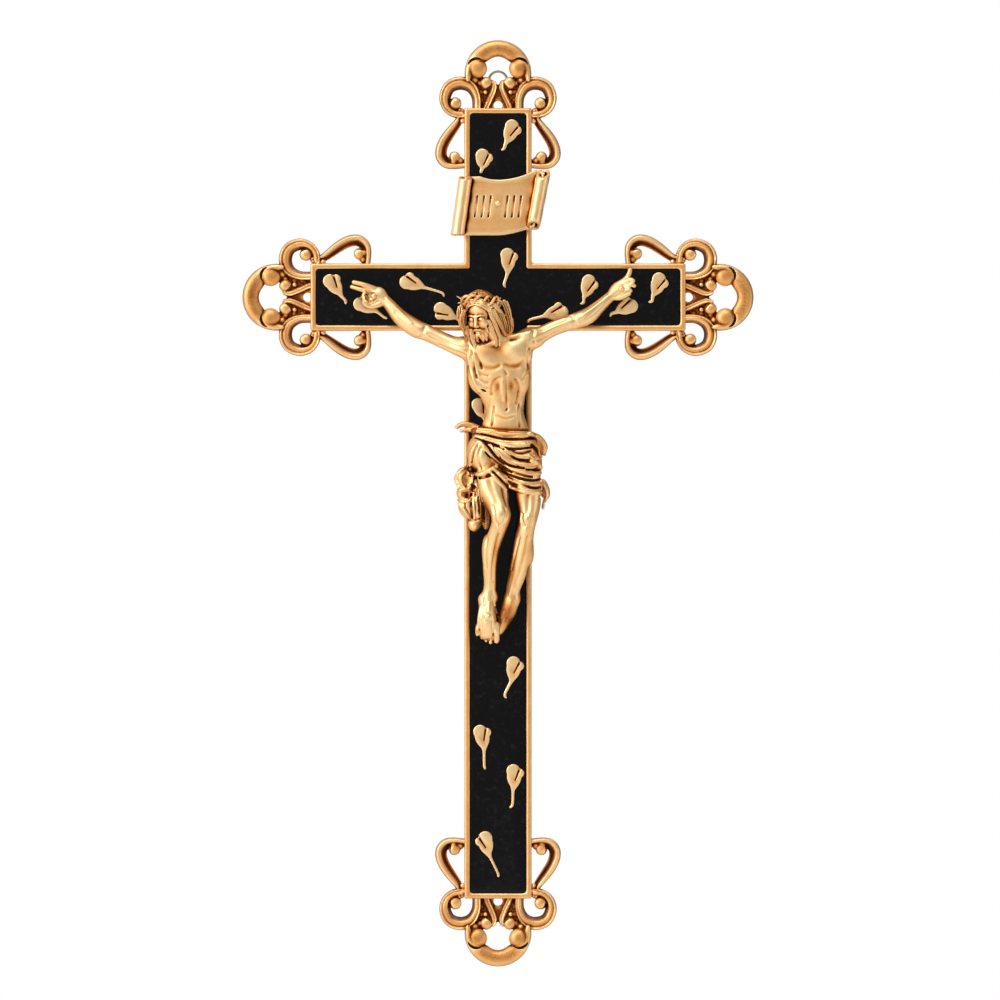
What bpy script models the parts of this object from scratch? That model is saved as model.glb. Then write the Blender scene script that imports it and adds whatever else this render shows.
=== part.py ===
# Wall crucifix: a cast cross with scrolled ends, black enamel poured round cast leaves,
# a cast figure, a cast title scroll held by a pin, and a wire hanging ring.
# Metres, +Z up, the wall at Y = 0 and the front towards -Y. Left and right are the viewer's.
# The origin is the point where a nail bears inside the hanging ring.

import math

import bmesh
import bpy
from mathutils import Matrix, Vector

MM = 0.001

# Cross body
SHAFT_LENGTH = 216.2 * MM
CROSSING_DROP = 51.7 * MM
BEAM_LENGTH = 102.6 * MM
BAR_WIDTH = 18.4 * MM
CROSS_DEPTH = 5.6 * MM
RIM_WIDTH = 1.5 * MM
RIM_CHAMFER = 0.3 * MM
END_CORNER = 0.5 * MM
CROSSING_CORNER = 0.8 * MM
ENAMEL_CORNER = 0.8 * MM
CORNER_STEPS = 2

# Enamel and the gap that separate pieces keep
ENAMEL_SINK = 0.2 * MM
ENAMEL_DEPTH = 1.2 * MM
CLEARANCE = 0.3 * MM

# Cast leaves, whose heads are this wide
LEAF_WIDTH = 4.4 * MM
LEAF_FADE = 0.5 * MM

# Scrolled ends, laid out in steps of the bar's width and modelled from their back plane
SCROLL_STEPS_ACROSS_BAR = 67.3
BOW_DEPTH = 4.0 * MM
VOLUTE_DEPTH = 3.7 * MM
EAR_DEPTH = 3.4 * MM
TENDRIL_DEPTH = 3.1 * MM
WEB_DEPTH = 1.4 * MM
SCROLL_KEEP = 0.72
# A band's section is three-sided on top: its shoulder's share of the half width and of the crest
BAND_SHOULDER = 0.86
BAND_SHOULDER_CREST = 0.62
BEAD_MESH = (8, 4)
SMALL_BEAD_MESH = (6, 4)
BACK_LAYERS = 40

# Hanging ring
RING_INNER = 4.1 * MM
RING_WIRE = 0.8 * MM
RING_RISE_STEPS = 28
RING_SEGMENTS = 20
RING_SIDES = 6

# Title scroll and its pin
TITLE_WIDTH = 26.0 * MM
TITLE_HEIGHT = 16.6 * MM
TITLE_DROP = 26.2 * MM
TITLE_SHEET = 0.8 * MM
TITLE_LEAN = 2.3 * MM
# The top edge sags between its corners and rises to the right, where the foot is higher too
TITLE_TOP_SHARE = 0.44
TITLE_TOP_TILT = 0.05
TITLE_TOP_SAG = 0.06
TITLE_FOOT_SHARE = 0.5
TITLE_FOOT_RISE = 0.05
TITLE_STROKE_WIDTH = 0.55 * MM
TITLE_STROKE_LENGTH = 5.6 * MM
TITLE_STROKE_PITCH = 2.3 * MM
TITLE_STROKE_CUT = 0.25 * MM
TITLE_STROKE_DROP = 0.8 * MM
TITLE_STROKE_LEAN = -7
PIN_HEAD = 1.7 * MM
PIN_HEAD_RISE = 0.6 * MM
PIN_SHANK = 0.8 * MM
PIN_SIDES = 10

# Figure, whose pose is given in steps of its height
FIGURE_HEIGHT = 97.7 * MM
FIGURE_STEPS = 357
FIGURE_CLAY = 0.42 * MM
FIGURE_KEEP = 0.036
CLAY_SMOOTHING_STEPS = 2
NAIL_SINK_STEPS = 4
NAIL_RISE_STEPS = 2
TRUNK_SIDES = 18
TUBE_RESOLUTION = 3
TUBE_SPANS = 3
TUBE_END_MESH = (10, 8)
MASS_MESH = (16, 12)
TOE_MESH = (8, 6)

# Points closer than this are one point
WELD = 0.001 * MM

# Places worked out from the sizes
scroll_step = BAR_WIDTH / SCROLL_STEPS_ACROSS_BAR
finial_back = RING_WIRE + CLEARANCE
shaft_top = -(RING_RISE_STEPS * scroll_step + RING_INNER / 2)
crossing = shaft_top - CROSSING_DROP
shaft_bottom = shaft_top - SHAFT_LENGTH
enamel_top = CROSS_DEPTH - ENAMEL_SINK
enamel_back = enamel_top - ENAMEL_DEPTH
bed_top = enamel_back - CLEARANCE
seat = CROSS_DEPTH + CLEARANCE
figure_step = FIGURE_HEIGHT / FIGURE_STEPS

for old in list(bpy.data.objects):
    bpy.data.objects.remove(old, do_unlink=True)

collection = bpy.data.collections.new("crucifix")
bpy.context.scene.collection.children.link(collection)
cutters = bpy.data.collections.new("cutters")
bpy.context.scene.collection.children.link(cutters)

# Everything is drawn as on a board: X right, Y up, Z out from the wall.
# This empty stands the board up against the wall.
board = bpy.data.objects.new("board", None)
board.rotation_euler = (math.radians(90), 0, 0)
collection.objects.link(board)


def material(name, colour, roughness, metallic):
    made = bpy.data.materials.new(name)
    made.use_nodes = True
    shader = made.node_tree.nodes["Principled BSDF"]
    shader.inputs["Base Color"].default_value = (*colour, 1)
    shader.inputs["Roughness"].default_value = roughness
    shader.inputs["Metallic"].default_value = metallic
    return made


def add_object(name, mesh, look=None, group=collection):
    made = bpy.data.objects.new(name, mesh)
    group.objects.link(made)
    if look:
        mesh.materials.clear()
        mesh.materials.append(look)
        made.parent = board
        mesh.shade_smooth()
        mesh.set_sharp_from_angle(angle=math.radians(40))
    if group is cutters:
        made.hide_render = True
        made.display_type = "WIRE"
    return made


def mesh_of(shape, name="shape"):
    mesh = bpy.data.meshes.new(name)
    shape.to_mesh(mesh)
    shape.free()
    return mesh


def loft(rings):
    """A closed skin over rings of points, capped at both ends."""
    shape = bmesh.new()
    rows = [[shape.verts.new(point) for point in ring] for ring in rings]
    count = len(rows[0])
    for lower, upper in zip(rows, rows[1:]):
        for i in range(count):
            j = (i + 1) % count
            shape.faces.new((lower[i], lower[j], upper[j], upper[i]))
    shape.faces.new(list(reversed(rows[0])))
    shape.faces.new(rows[-1])
    bmesh.ops.recalc_face_normals(shape, faces=shape.faces)
    return mesh_of(shape)


def combine(base, tool, operation="UNION"):
    """The mesh of base after an exact Boolean with tool; both are used up."""
    first = add_object("first", base, group=cutters)
    second = add_object("second", tool, group=cutters)
    change = first.modifiers.new("change", "BOOLEAN")
    change.operation = operation
    change.object = second
    change.solver = "EXACT"
    depsgraph = bpy.context.evaluated_depsgraph_get()
    result = bpy.data.meshes.new_from_object(first.evaluated_get(depsgraph))
    bpy.data.objects.remove(first)
    bpy.data.objects.remove(second)
    tidy = bmesh.new()
    tidy.from_mesh(result)
    bmesh.ops.remove_doubles(tidy, verts=tidy.verts, dist=WELD)
    tidy.to_mesh(result)
    tidy.free()
    return result


def thinned(mesh, keep):
    """The mesh with only a share of its faces kept."""
    full = add_object("full", mesh, group=cutters)
    full.modifiers.new("thin", "DECIMATE").ratio = keep
    result = bpy.data.meshes.new_from_object(full.evaluated_get(bpy.context.evaluated_depsgraph_get()))
    bpy.data.objects.remove(full)
    return result


def together(meshes):
    """One mesh that holds several as loose bodies."""
    shape = bmesh.new()
    for mesh in meshes:
        shape.from_mesh(mesh)
    return mesh_of(shape)


def box(low, high):
    shape = bmesh.new()
    size = [high[i] - low[i] for i in range(3)]
    middle = [(high[i] + low[i]) / 2 for i in range(3)]
    bmesh.ops.create_cube(shape, size=1, matrix=Matrix.Translation(middle) @ Matrix.Diagonal((*size, 1)))
    return mesh_of(shape)


def ball(centre, halves, segments, rings):
    shape = bmesh.new()
    place = Matrix.Translation(centre) @ Matrix.Diagonal((*halves, 1))
    bmesh.ops.create_uvsphere(shape, u_segments=segments, v_segments=rings, radius=1, matrix=place)
    return mesh_of(shape)


def smooth_path(points, steps):
    """Points on a smooth curve through the given ones, with every column blended alike."""
    ends = [points[0]] + list(points) + [points[-1]]
    path = []
    for a, b, c, d in zip(ends, ends[1:], ends[2:], ends[3:]):
        for k in range(steps):
            t = k / steps
            path.append([
                0.5 * (2 * q + (r - p) * t + (2 * p - 5 * q + 4 * r - s) * t * t + (3 * q - p - 3 * r + s) * t ** 3)
                for p, q, r, s in zip(a, b, c, d)])
    path.append(list(points[-1]))
    return path


# Cross casting: the body is one loft that climbs the outer wall, crosses the rim
# and drops to the bed that the enamel lies on.

def corner_arc(before, corner, after, radius):
    into = (Vector(before) - Vector(corner)).normalized()
    out = (Vector(after) - Vector(corner)).normalized()
    centre = Vector(corner) + radius * (into + out)
    turns = [math.pi / 2 * k / CORNER_STEPS for k in range(CORNER_STEPS + 1)]
    return [centre - radius * (out * math.cos(a) + into * math.sin(a)) for a in turns]


def cross_outline(inset, end_radius, height):
    half = BAR_WIDTH / 2 - inset
    side = BEAM_LENGTH / 2 - inset
    top = shaft_top - inset
    foot = shaft_bottom + inset
    above = crossing + half
    below = crossing - half
    corners = [(half, top), (-half, top), (-half, above), (-side, above), (-side, below), (-half, below),
               (-half, foot), (half, foot), (half, below), (side, below), (side, above), (half, above)]
    inner = {(-half, above), (-half, below), (half, below), (half, above)}
    points = []
    for i, corner in enumerate(corners):
        radius = CROSSING_CORNER if corner in inner else end_radius
        points += corner_arc(corners[i - 1], corner, corners[(i + 1) % len(corners)], radius)
    return [(p.x, p.y, height) for p in points]


body = loft([
    cross_outline(0, END_CORNER, 0),
    cross_outline(0, END_CORNER, CROSS_DEPTH - RIM_CHAMFER),
    cross_outline(RIM_CHAMFER, END_CORNER, CROSS_DEPTH),
    cross_outline(RIM_WIDTH - RIM_CHAMFER, ENAMEL_CORNER, CROSS_DEPTH),
    cross_outline(RIM_WIDTH, ENAMEL_CORNER, CROSS_DEPTH - RIM_CHAMFER),
    cross_outline(RIM_WIDTH, ENAMEL_CORNER, bed_top),
])

# Leaves: arm, share of the arm's length from the crossing, share of the bar's half width
# across it, turn of the tail from straight down in degrees, length of the tail, notch side
LEAVES = (
    ("up", 0.894, 0.446, -27, 6.7 * MM, 1), ("up", 0.741, -0.416, -11, 4.4 * MM, 1),
    ("up", 0.217, 0.327, -7, 8.6 * MM, 1), ("left", 0.885, 0.475, 31, 7.2 * MM, 1),
    ("left", 0.725, -0.178, 59, 8.0 * MM, 1), ("left", 0.480, 0.475, 67, 10.7 * MM, 1),
    ("left", 0.304, -0.416, 68, 6.8 * MM, -1), ("right", 0.331, -0.416, -71, 9.3 * MM, -1),
    ("right", 0.490, 0.416, -24, 6.2 * MM, 1), ("right", 0.700, -0.238, -60, 6.0 * MM, -1),
    ("right", 0.864, 0.475, -28, 6.5 * MM, 1), ("down", 0.180, -0.520, 15, 5.5 * MM, 1),
    ("down", 0.611, 0.505, -15, 9.4 * MM, 1), ("down", 0.724, -0.475, 5, 9.9 * MM, 1),
    ("down", 0.790, 0.505, -8, 9.7 * MM, 1), ("down", 0.902, -0.416, 21, 10.8 * MM, -1),
)
# Half of a leaf's outline from the top of a lobe to the tail's tip: share of half width
# across, share of half width along the head, share of the tail's length down
LEAF_SIDE = ((0.50, 1.00, 0), (0.92, 0.58, 0), (1.00, 0, 0), (0.62, 0, 0.28), (0.24, 0, 0.55))
LEAF_NOTCH = (0.22, 0.74)


def leaf_outline(leaf, grow, height):
    arm, along, across, turn, tail, side = leaf
    half = LEAF_WIDTH / 2
    reach = {"up": CROSSING_DROP, "down": SHAFT_LENGTH - CROSSING_DROP}.get(arm, BEAM_LENGTH / 2)
    head = {
        "up": (across * BAR_WIDTH / 2, along * reach), "down": (across * BAR_WIDTH / 2, -along * reach),
        "left": (-along * reach, across * BAR_WIDTH / 2), "right": (along * reach, across * BAR_WIDTH / 2),
    }[arm]
    right = [(x * half + grow, y * half + (grow if y else 0) - t * tail) for x, y, t in LEAF_SIDE]
    tip = [(0, -tail - grow)]
    left = [(-x, y) for x, y in reversed(right)]
    notch = [] if grow else [(side * LEAF_NOTCH[0] * half, LEAF_NOTCH[1] * half)]
    place = Matrix.Translation((head[0], crossing + head[1], height)) @ Matrix.Rotation(math.radians(turn), 4, "Z")
    return [place @ Vector((x, y, 0)) for x, y in right + tip + left + notch]


def leaf_prisms(grow, low, high):
    made = [loft([leaf_outline(leaf, grow, low), leaf_outline(leaf, grow, high)]) for leaf in LEAVES]
    return together(made)


body = combine(body, leaf_prisms(0, bed_top - LEAF_FADE, enamel_top))


# Scrolled ends: bands are half-round in section, on a board where X runs across
# the arm and Y runs out from its end. Each starts a little inside what carries it.

def band(points, crest, base, steps):
    """A flat-backed strip whose width changes along its path: across, out, half width."""
    path = smooth_path([[value * scroll_step for value in point] for point in points], steps)
    rings = []
    for i, (x, y, half) in enumerate(path):
        before = path[max(i - 1, 0)]
        after = path[min(i + 1, len(path) - 1)]
        along = Vector((after[0] - before[0], after[1] - before[1])).normalized()
        across = Vector((-along.y, along.x))
        shoulder = base + BAND_SHOULDER_CREST * (crest - base)
        section = ((-1, base), (-BAND_SHOULDER, shoulder), (0, crest), (BAND_SHOULDER, shoulder), (1, base))
        rings.append([(x + across.x * half * s, y + across.y * half * s, z) for s, z in section])
    return loft(rings)


def scroll_ball(x, y, radius, crest):
    centre = (x * scroll_step, y * scroll_step, crest - radius * scroll_step)
    fineness = BEAD_MESH if radius > BALL_PLAIN_UNDER else SMALL_BEAD_MESH
    return ball(centre, [radius * scroll_step] * 3, *fineness)


# Bow at the very end: a crescent on a circle, thick in the middle
BOW_CENTRE = 34.5
BOW_RADIUS = 34.0
BOW_THICK = 8.2
BOW_THIN = 4.0
BOW_SWEEP = 114
BOW_SPANS = 10

# Side volute, ear along the bar and inner tendril: across, out, half width
VOLUTE = ((21.5, -3, 4.4), (21.8, 11, 4.6), (27.5, 21.5, 5.8), (38, 25.2, 6.6), (48.4, 21.3, 6.3),
          (53, 11, 5.8), (50.8, 1.5, 5.2), (44, -4.2, 4.8), (36, -5.6, 4.4))
EAR = ((37.5, -3, 3.4), (38.5, -11, 3.8), (43, -18, 4.6), (49, -26, 5.4), (54, -34, 5.7), (56.8, -42, 5.8),
       (56.4, -49, 5.7), (51.5, -54.5, 5.4), (43, -55.8, 5.0), (31, -55, 4.4))
TENDRIL = ((11, -3, 3.4), (7.5, 6, 3.4), (4.2, 14, 3.5), (5, 22, 3.6))
WEB = ((5, -3), (20, -3), (24, 14), (26.5, 29), (20, 35), (10, 28), (3.5, 18))
BALLS = ((21, 40, 10, BOW_DEPTH), (42.8, 4.6, 6.3, VOLUTE_DEPTH), (43.5, -49.2, 5.9, EAR_DEPTH),
         (11.5, 25.2, 6.1, TENDRIL_DEPTH))
BALL_PLAIN_UNDER = 8

bow = []
for k in range(BOW_SPANS + 1):
    angle = math.radians(BOW_SWEEP * (2 * k / BOW_SPANS - 1))
    thick = BOW_THIN + (BOW_THICK - BOW_THIN) * max(math.cos(angle), 0) ** 2
    bow.append(((BOW_RADIUS - thick) * math.sin(angle), BOW_CENTRE + (BOW_RADIUS - thick) * math.cos(angle), thick))
finial = band(bow, finial_back + BOW_DEPTH, 0, 1)

# Each piece starts a little deeper than the last, and one cut then makes the flat back
layer = finial_back / BACK_LAYERS
for hand in (1, -1):
    pieces = []
    base = layer * (1 + hand / 2)
    for points, depth, steps in ((VOLUTE, VOLUTE_DEPTH, 2), (EAR, EAR_DEPTH, 1), (TENDRIL, TENDRIL_DEPTH, 2)):
        base += layer
        pieces.append(band([(hand * x, y, half) for x, y, half in points], finial_back + depth, base, steps))
    base += layer
    pieces.append(loft([[(hand * x * scroll_step, y * scroll_step, z) for x, y in WEB]
                        for z in (base, finial_back + WEB_DEPTH)]))
    for x, y, radius, depth in BALLS:
        pieces.append(scroll_ball(hand * x, y, radius, finial_back + depth))
    for piece in pieces:
        finial = combine(finial, piece)
back_cut = box((-BEAM_LENGTH, -BEAM_LENGTH, -CROSS_DEPTH), (BEAM_LENGTH, BEAM_LENGTH, finial_back))
finial = combine(finial, back_cut, "DIFFERENCE")
finial = thinned(finial, SCROLL_KEEP)

ENDS = (
    ((0, shaft_top), 0), ((-BEAM_LENGTH / 2, crossing), 90),
    ((0, shaft_bottom), 180), ((BEAM_LENGTH / 2, crossing), 270),
)
for (x, y), turn in ENDS:
    place = Matrix.Translation((x, y, 0)) @ Matrix.Rotation(math.radians(turn), 4, "Z")
    placed = finial.copy()
    placed.transform(place)
    body = combine(body, placed)

gold = material("antique_gold_casting", (0.78, 0.48, 0.22), 0.32, 1.0)
add_object("cross_casting", body, gold)

# Enamel: one poured field, open round every leaf
field = loft([
    cross_outline(RIM_WIDTH + CLEARANCE, ENAMEL_CORNER, enamel_back),
    cross_outline(RIM_WIDTH + CLEARANCE, ENAMEL_CORNER, enamel_top),
])
field = combine(field, leaf_prisms(CLEARANCE, enamel_back - CLEARANCE, enamel_top + CLEARANCE), "DIFFERENCE")
add_object("enamel_field", field, material("black_enamel", (0.01, 0.01, 0.01), 0.08, 0.0))

# Hanging ring: soldered wire behind the top tendrils
bpy.ops.mesh.primitive_torus_add(
    major_segments=RING_SEGMENTS, minor_segments=RING_SIDES,
    major_radius=(RING_INNER + RING_WIRE) / 2, minor_radius=RING_WIRE / 2,
    location=(0, -RING_INNER / 2, RING_WIRE / 2))
wire = bpy.context.object
wire.data.transform(wire.matrix_basis)
ring_mesh = wire.data.copy()
bpy.data.objects.remove(wire)
add_object("hanging_ring", ring_mesh, material("steel_wire", (0.6, 0.58, 0.55), 0.3, 1.0))

# Title scroll: a sheet with a roll at either side. Across and out in shares of the
# half width, from the tucked left edge to the end of the right roll.
TITLE_SECTION = (
    (-0.70, 0.08), (-0.84, 0.05), (-0.94, 0.11), (-0.95, 0.21), (-0.86, 0.27), (-0.75, 0.21),
    (-0.64, 0.13), (-0.45, 0.11), (0, 0.13), (0.45, 0.17), (0.62, 0.22), (0.73, 0.34),
    (0.86, 0.39), (0.97, 0.31), (0.97, 0.18), (0.87, 0.11), (0.78, 0.17),
)
TITLE_ROWS = 5


def title_height(share, row):
    """Height above the title's middle: the top edge sags and the right roll stands higher."""
    top = TITLE_HEIGHT * (TITLE_TOP_SHARE + TITLE_TOP_TILT * share + TITLE_TOP_SAG * share * share)
    foot = -TITLE_HEIGHT * (TITLE_FOOT_SHARE - TITLE_FOOT_RISE * max(share, 0) ** 2)
    return foot + (top - foot) * row


title_middle = shaft_top - TITLE_DROP
sheet = bmesh.new()
rows = []
for k in range(TITLE_ROWS + 1):
    row = k / TITLE_ROWS
    lean = TITLE_LEAN * (row - 0.5)
    rows.append([sheet.verts.new((
        x * TITLE_WIDTH / 2 + lean,
        title_middle + title_height(x, row),
        seat + z * TITLE_WIDTH / 2)) for x, z in TITLE_SECTION])
for lower, upper in zip(rows, rows[1:]):
    for i in range(len(TITLE_SECTION) - 1):
        sheet.faces.new((lower[i], lower[i + 1], upper[i + 1], upper[i]))
scroll = add_object("sheet", mesh_of(sheet), group=cutters)
wall = scroll.modifiers.new("wall", "SOLIDIFY")
wall.thickness = TITLE_SHEET
wall.offset = 0
title = bpy.data.meshes.new_from_object(scroll.evaluated_get(bpy.context.evaluated_depsgraph_get()))
bpy.data.objects.remove(scroll)
FIELD_SECTION = TITLE_SECTION[6:12]


def sheet_face(x):
    """How far out the sheet's face stands at a distance across from its middle."""
    share = x / (TITLE_WIDTH / 2)
    for (x0, z0), (x1, z1) in zip(FIELD_SECTION, FIELD_SECTION[1:]):
        if x0 <= share <= x1:
            return seat + (z0 + (z1 - z0) * (share - x0) / (x1 - x0)) * TITLE_WIDTH / 2 + TITLE_SHEET / 2
    return seat + TITLE_SHEET / 2


title_face = sheet_face(0)

# The inscription is a row of plain leaning strokes cut into the sheet's face
STROKES = (-2.6, -1.8, -1.0, 1.0, 1.8, 2.6)
for k in STROKES:
    x = k * TITLE_STROKE_PITCH
    slope = Matrix.Rotation(math.radians(TITLE_STROKE_LEAN), 4, "Z")
    middle = (x, title_middle - TITLE_STROKE_DROP, sheet_face(x))
    bar = box((-TITLE_STROKE_WIDTH / 2, -TITLE_STROKE_LENGTH / 2, -TITLE_STROKE_CUT),
              (TITLE_STROKE_WIDTH / 2, TITLE_STROKE_LENGTH / 2, TITLE_SHEET))
    bar.transform(Matrix.Translation(middle) @ slope)
    title = combine(title, bar, "DIFFERENCE")


def turned(profile, sides):
    """A closed body turned about Z from pairs of radius and height, capped at both ends."""
    rings = []
    for radius, height in profile:
        turns = [2 * math.pi * k / sides for k in range(sides)]
        rings.append([(radius * math.cos(a), radius * math.sin(a), height) for a in turns])
    return loft(rings)


pin_place = Matrix.Translation((0, title_middle, 0))
hole_radius = PIN_SHANK / 2 + CLEARANCE
hole = turned([(hole_radius, seat - TITLE_SHEET), (hole_radius, title_face * 2)], PIN_SIDES)
hole.transform(pin_place)
title = combine(title, hole, "DIFFERENCE")
add_object("title_scroll", title, gold)

# The pin's domed head, in shares of its width and its rise
PIN_DOME = ((0.5, 0), (0.42, 0.6), (0.22, 1))
head_seat = title_face + CLEARANCE
dome = [(PIN_HEAD * across, head_seat + PIN_HEAD_RISE * up) for across, up in PIN_DOME]
pin = turned([(PIN_SHANK / 2, seat), (PIN_SHANK / 2, head_seat)] + dome, PIN_SIDES)
pin.transform(pin_place)
add_object("title_pin", pin, gold)

# Figure: limbs are tapered tubes and the trunk is a few rounded masses, all worked into
# one skin. Points are right, up and out in steps, from the crossing and the seat plane.

LIMBS = (
    # left arm from the palm to the shoulder
    ((-124, 2, 5, 6.5), (-113, -3, 6, 5.5), (-98, -20, 8, 8), (-83, -31, 10, 9.2), (-72, -35.5, 11, 8.5),
     (-58, -42, 12, 8.2), (-43, -48.5, 14, 8.8), (-29, -52, 16, 10.5), (-14, -56, 17, 12)),
    # right arm from the palm to the shoulder
    ((122, 7, 5, 6.5), (113, 1, 6, 5.5), (102, -9, 8, 6.5), (90, -19, 10, 8.4), (74, -25, 11, 8),
     (57, -31, 12, 7.7), (42, -38, 14, 8.6), (31, -42, 16, 10.5), (16, -52, 17, 12)),
    # neck
    ((6, -46, 16, 10), (-2, -38, 22, 9), (-12, -28, 28, 9)),
    # leg in front, from the hip to the ankle
    ((-10, -150, 15, 15), (-8, -172, 20, 13), (-4, -198, 27, 11), (2, -214, 32, 10.5), (3, -220, 33, 10),
     (1, -229, 30, 8.4), (-4, -243, 25, 8.6), (-7, -256, 21, 8.8), (-8, -273, 17, 7.3), (-8, -288, 14, 6.3),
     (-10, -303, 13, 7)),
    # leg behind, from the hip to the ankle
    ((22, -150, 14, 16), (28, -176, 18, 14), (31, -200, 23, 11), (31, -216, 26, 9.4), (28, -231, 26, 8.8),
     (25, -248, 21, 9.4), (22, -263, 17, 9.8), (19, -278, 13, 8.6), (15, -293, 10, 6.8), (13, -306, 9, 7)),
    # foot in front and foot behind
    ((-10, -305, 13, 8), (-11, -318, 15, 9.5), (-11, -331, 14, 10), (-11, -338, 12, 7)),
    ((13, -305, 8, 8), (10, -316, 8, 8), (3, -328, 6, 7)),
    # two straight fingers and the curled ones of the left hand
    ((-126, 8, 6, 3), (-143, 13, 7, 2.3)), ((-128, 3, 6, 3), (-145, 9, 7, 2.3)),
    ((-127, 2, 8, 3), (-134, -1, 10, 2.6), (-131, -7, 9, 2.6), (-123, -8, 7, 3)),
    # fingers and thumb of the right hand
    ((124, 10, 6, 3.4), (129, 20, 8, 2.9), (132, 26, 9, 2.6)), ((126, 12, 7, 3), (136, 16, 10, 2.6)),
    ((126, 8, 7, 3), (137, 11, 11, 2.6)), ((124, 5, 7, 3), (134, 6, 10, 2.6)), ((118, 1, 6, 3.4), (130, 3, 8, 2.8)),
)
# Rounded masses: right, up, out, then half sizes the same way, and a turn in degrees
MASSES = (
    (-13, -61, 21, 14, 8.5, 7, 8), (19, -58, 21, 13, 8.5, 7, -5), (8, -112, 20, 12, 13, 6, 0),
    (-17, -18, 30, 14.5, 20, 15, -14), (-15, -12, 26, 19, 19, 17, -14),
    (0, -148, 16, 28, 14, 14, -4),
)
# Trunk: up, right and out of each section's centre, then its half width and half depth
TRUNK = (
    (-38, 5, 17, 13, 7), (-47, 3, 16, 25, 10), (-60, 0, 15.5, 33, 12.5), (-73, 1, 15.5, 29.5, 13.5),
    (-88, 3, 15, 26, 13.5), (-103, 5, 14, 21.5, 12), (-115, 6.5, 13.5, 19, 11.5), (-128, 6.5, 14, 22.5, 12),
    (-141, 6, 14.5, 26.5, 13.5), (-158, 6, 15, 28, 14),
)
# Hair, beard and the twisted crown
LOCKS = (
    ((-30, -6, 28, 6), (-37, -20, 28, 6), (-38, -36, 25, 5.5), (-33, -48, 23, 4)),
    ((2, -4, 26, 7), (8, -18, 25, 6.5), (9, -30, 23, 5.5), (11, -38, 20, 4)),
    ((-25, -34, 38, 5), (-19, -44, 38, 6), (-13, -52, 36, 4)),
    ((-12, -32, 40, 5), (-12, -44, 38, 5.5), (-11, -52, 35, 3.5)),
    ((-43, -9, 24, 2.6), (-38, -3, 38, 2.8), (-24, 4, 45, 2.8), (-8, 6, 42, 2.8), (3, 1, 32, 2.8), (6, -6, 20, 2.6)),
    ((-41, -14, 30, 2.4), (-30, -4, 44, 2.6), (-14, 0, 46, 2.6), (2, -3, 36, 2.6), (7, -10, 24, 2.4)),
)
# Loincloth: the wrapped bands, then the folds that cross it, the knot and the hanging ends
CLOTH_MASSES = (
    (-12, -156, 17, 19, 20, 13, 12), (22, -168, 18, 21, 29, 15, -6), (8, -158, 18, 26, 17, 15, -12),
    (31, -190, 19, 13, 8, 12, -4),
)
CLOTH_FOLDS = (
    ((-25, -137, 12, 4), (-14, -139, 24, 4.2), (4, -141, 29, 4.4), (22, -141, 25, 4.2), (35, -140, 12, 4)),
    ((-22, -143, 16, 2.8), (-6, -151, 29, 2.8), (14, -162, 32, 2.8), (36, -170, 24, 2.6), (43, -172, 14, 2.4)),
    ((-22, -149, 18, 2.6), (-8, -160, 29, 2.8), (12, -175, 32, 2.8), (34, -184, 25, 2.6), (43, -186, 14, 2.4)),
    ((-14, -160, 24, 2.4), (0, -172, 30, 2.6), (16, -186, 32, 2.6), (40, -194, 22, 2.4)),
    ((-28, -160, 14, 3), (-27, -175, 14, 3.2), (-16, -177, 24, 3), (-4, -171, 29, 2.8), (8, -184, 30, 2.8),
     (12, -193, 28, 2.8), (36, -197, 22, 2.8), (44, -198, 12, 2.6)),
    ((0, -147, 29, 2.4), (22, -153, 29, 2.4), (38, -158, 18, 2.4)),
)
CLOTH_ENDS = (
    ((33, -140, 8, 5), (42, -144, 8, 6), (47, -152, 7, 5), (44, -160, 7, 3)),
    ((-24, -138, 9, 4), (-34, -130, 8, 4), (-41, -129, 7, 3)),
    ((43, -180, 9, 5), (48, -196, 8, 4), (45, -212, 7, 3)),
    ((-26, -166, 8, 5), (-37, -182, 7, 6), (-35, -200, 7, 6.5), (-29, -216, 6, 7), (-24, -229, 6, 5.5)),
    ((-24, -172, 9, 5), (-25, -190, 8, 6), (-21, -208, 7, 5.5), (-21, -226, 6, 5.5)),
    ((-30, -170, 11, 3), (-41, -192, 11, 3), (-36, -204, 11, 3), (-27, -200, 11, 3), (-26, -188, 12, 2.6)),
)
TOES = ((-19.5, -338, 2.9), (-14.5, -342, 2.8), (-10, -344, 2.8), (-5.5, -345, 2.9), (0, -342, 3.8))
NAILS = ((-124, 0, 9, 3), (123, 8, 10, 3), (-10, -320, 23, 3.4))
TOE_DEPTH = 11
# Half sizes of a toe in shares of its radius
TOE_SHAPE = (0.9, 1.5, 1.4)


def figure_point(x, y, z):
    return Vector((x * figure_step, crossing + y * figure_step, seat + z * figure_step))


def tube(points):
    """A closed tube through points of right, up, out and radius, as a mesh."""
    path = smooth_path(points, TUBE_SPANS)
    curve = bpy.data.curves.new("tube", "CURVE")
    curve.dimensions = "3D"
    curve.bevel_depth = figure_step
    curve.bevel_resolution = TUBE_RESOLUTION
    curve.use_fill_caps = True
    spline = curve.splines.new("POLY")
    spline.points.add(len(path) - 1)
    for point, (x, y, z, radius) in zip(spline.points, path):
        point.co = (*figure_point(x, y, z), 1)
        point.radius = radius
    guide = bpy.data.objects.new("tube", curve)
    cutters.objects.link(guide)
    skin = bpy.data.meshes.new_from_object(guide.evaluated_get(bpy.context.evaluated_depsgraph_get()))
    bpy.data.objects.remove(guide)
    shape = bmesh.new()
    shape.from_mesh(skin)
    bmesh.ops.remove_doubles(shape, verts=shape.verts, dist=WELD)
    ends = [ball(figure_point(x, y, z), [radius * figure_step] * 3, *TUBE_END_MESH)
            for x, y, z, radius in (path[0], path[-1])]
    return together([mesh_of(shape)] + ends)


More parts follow.
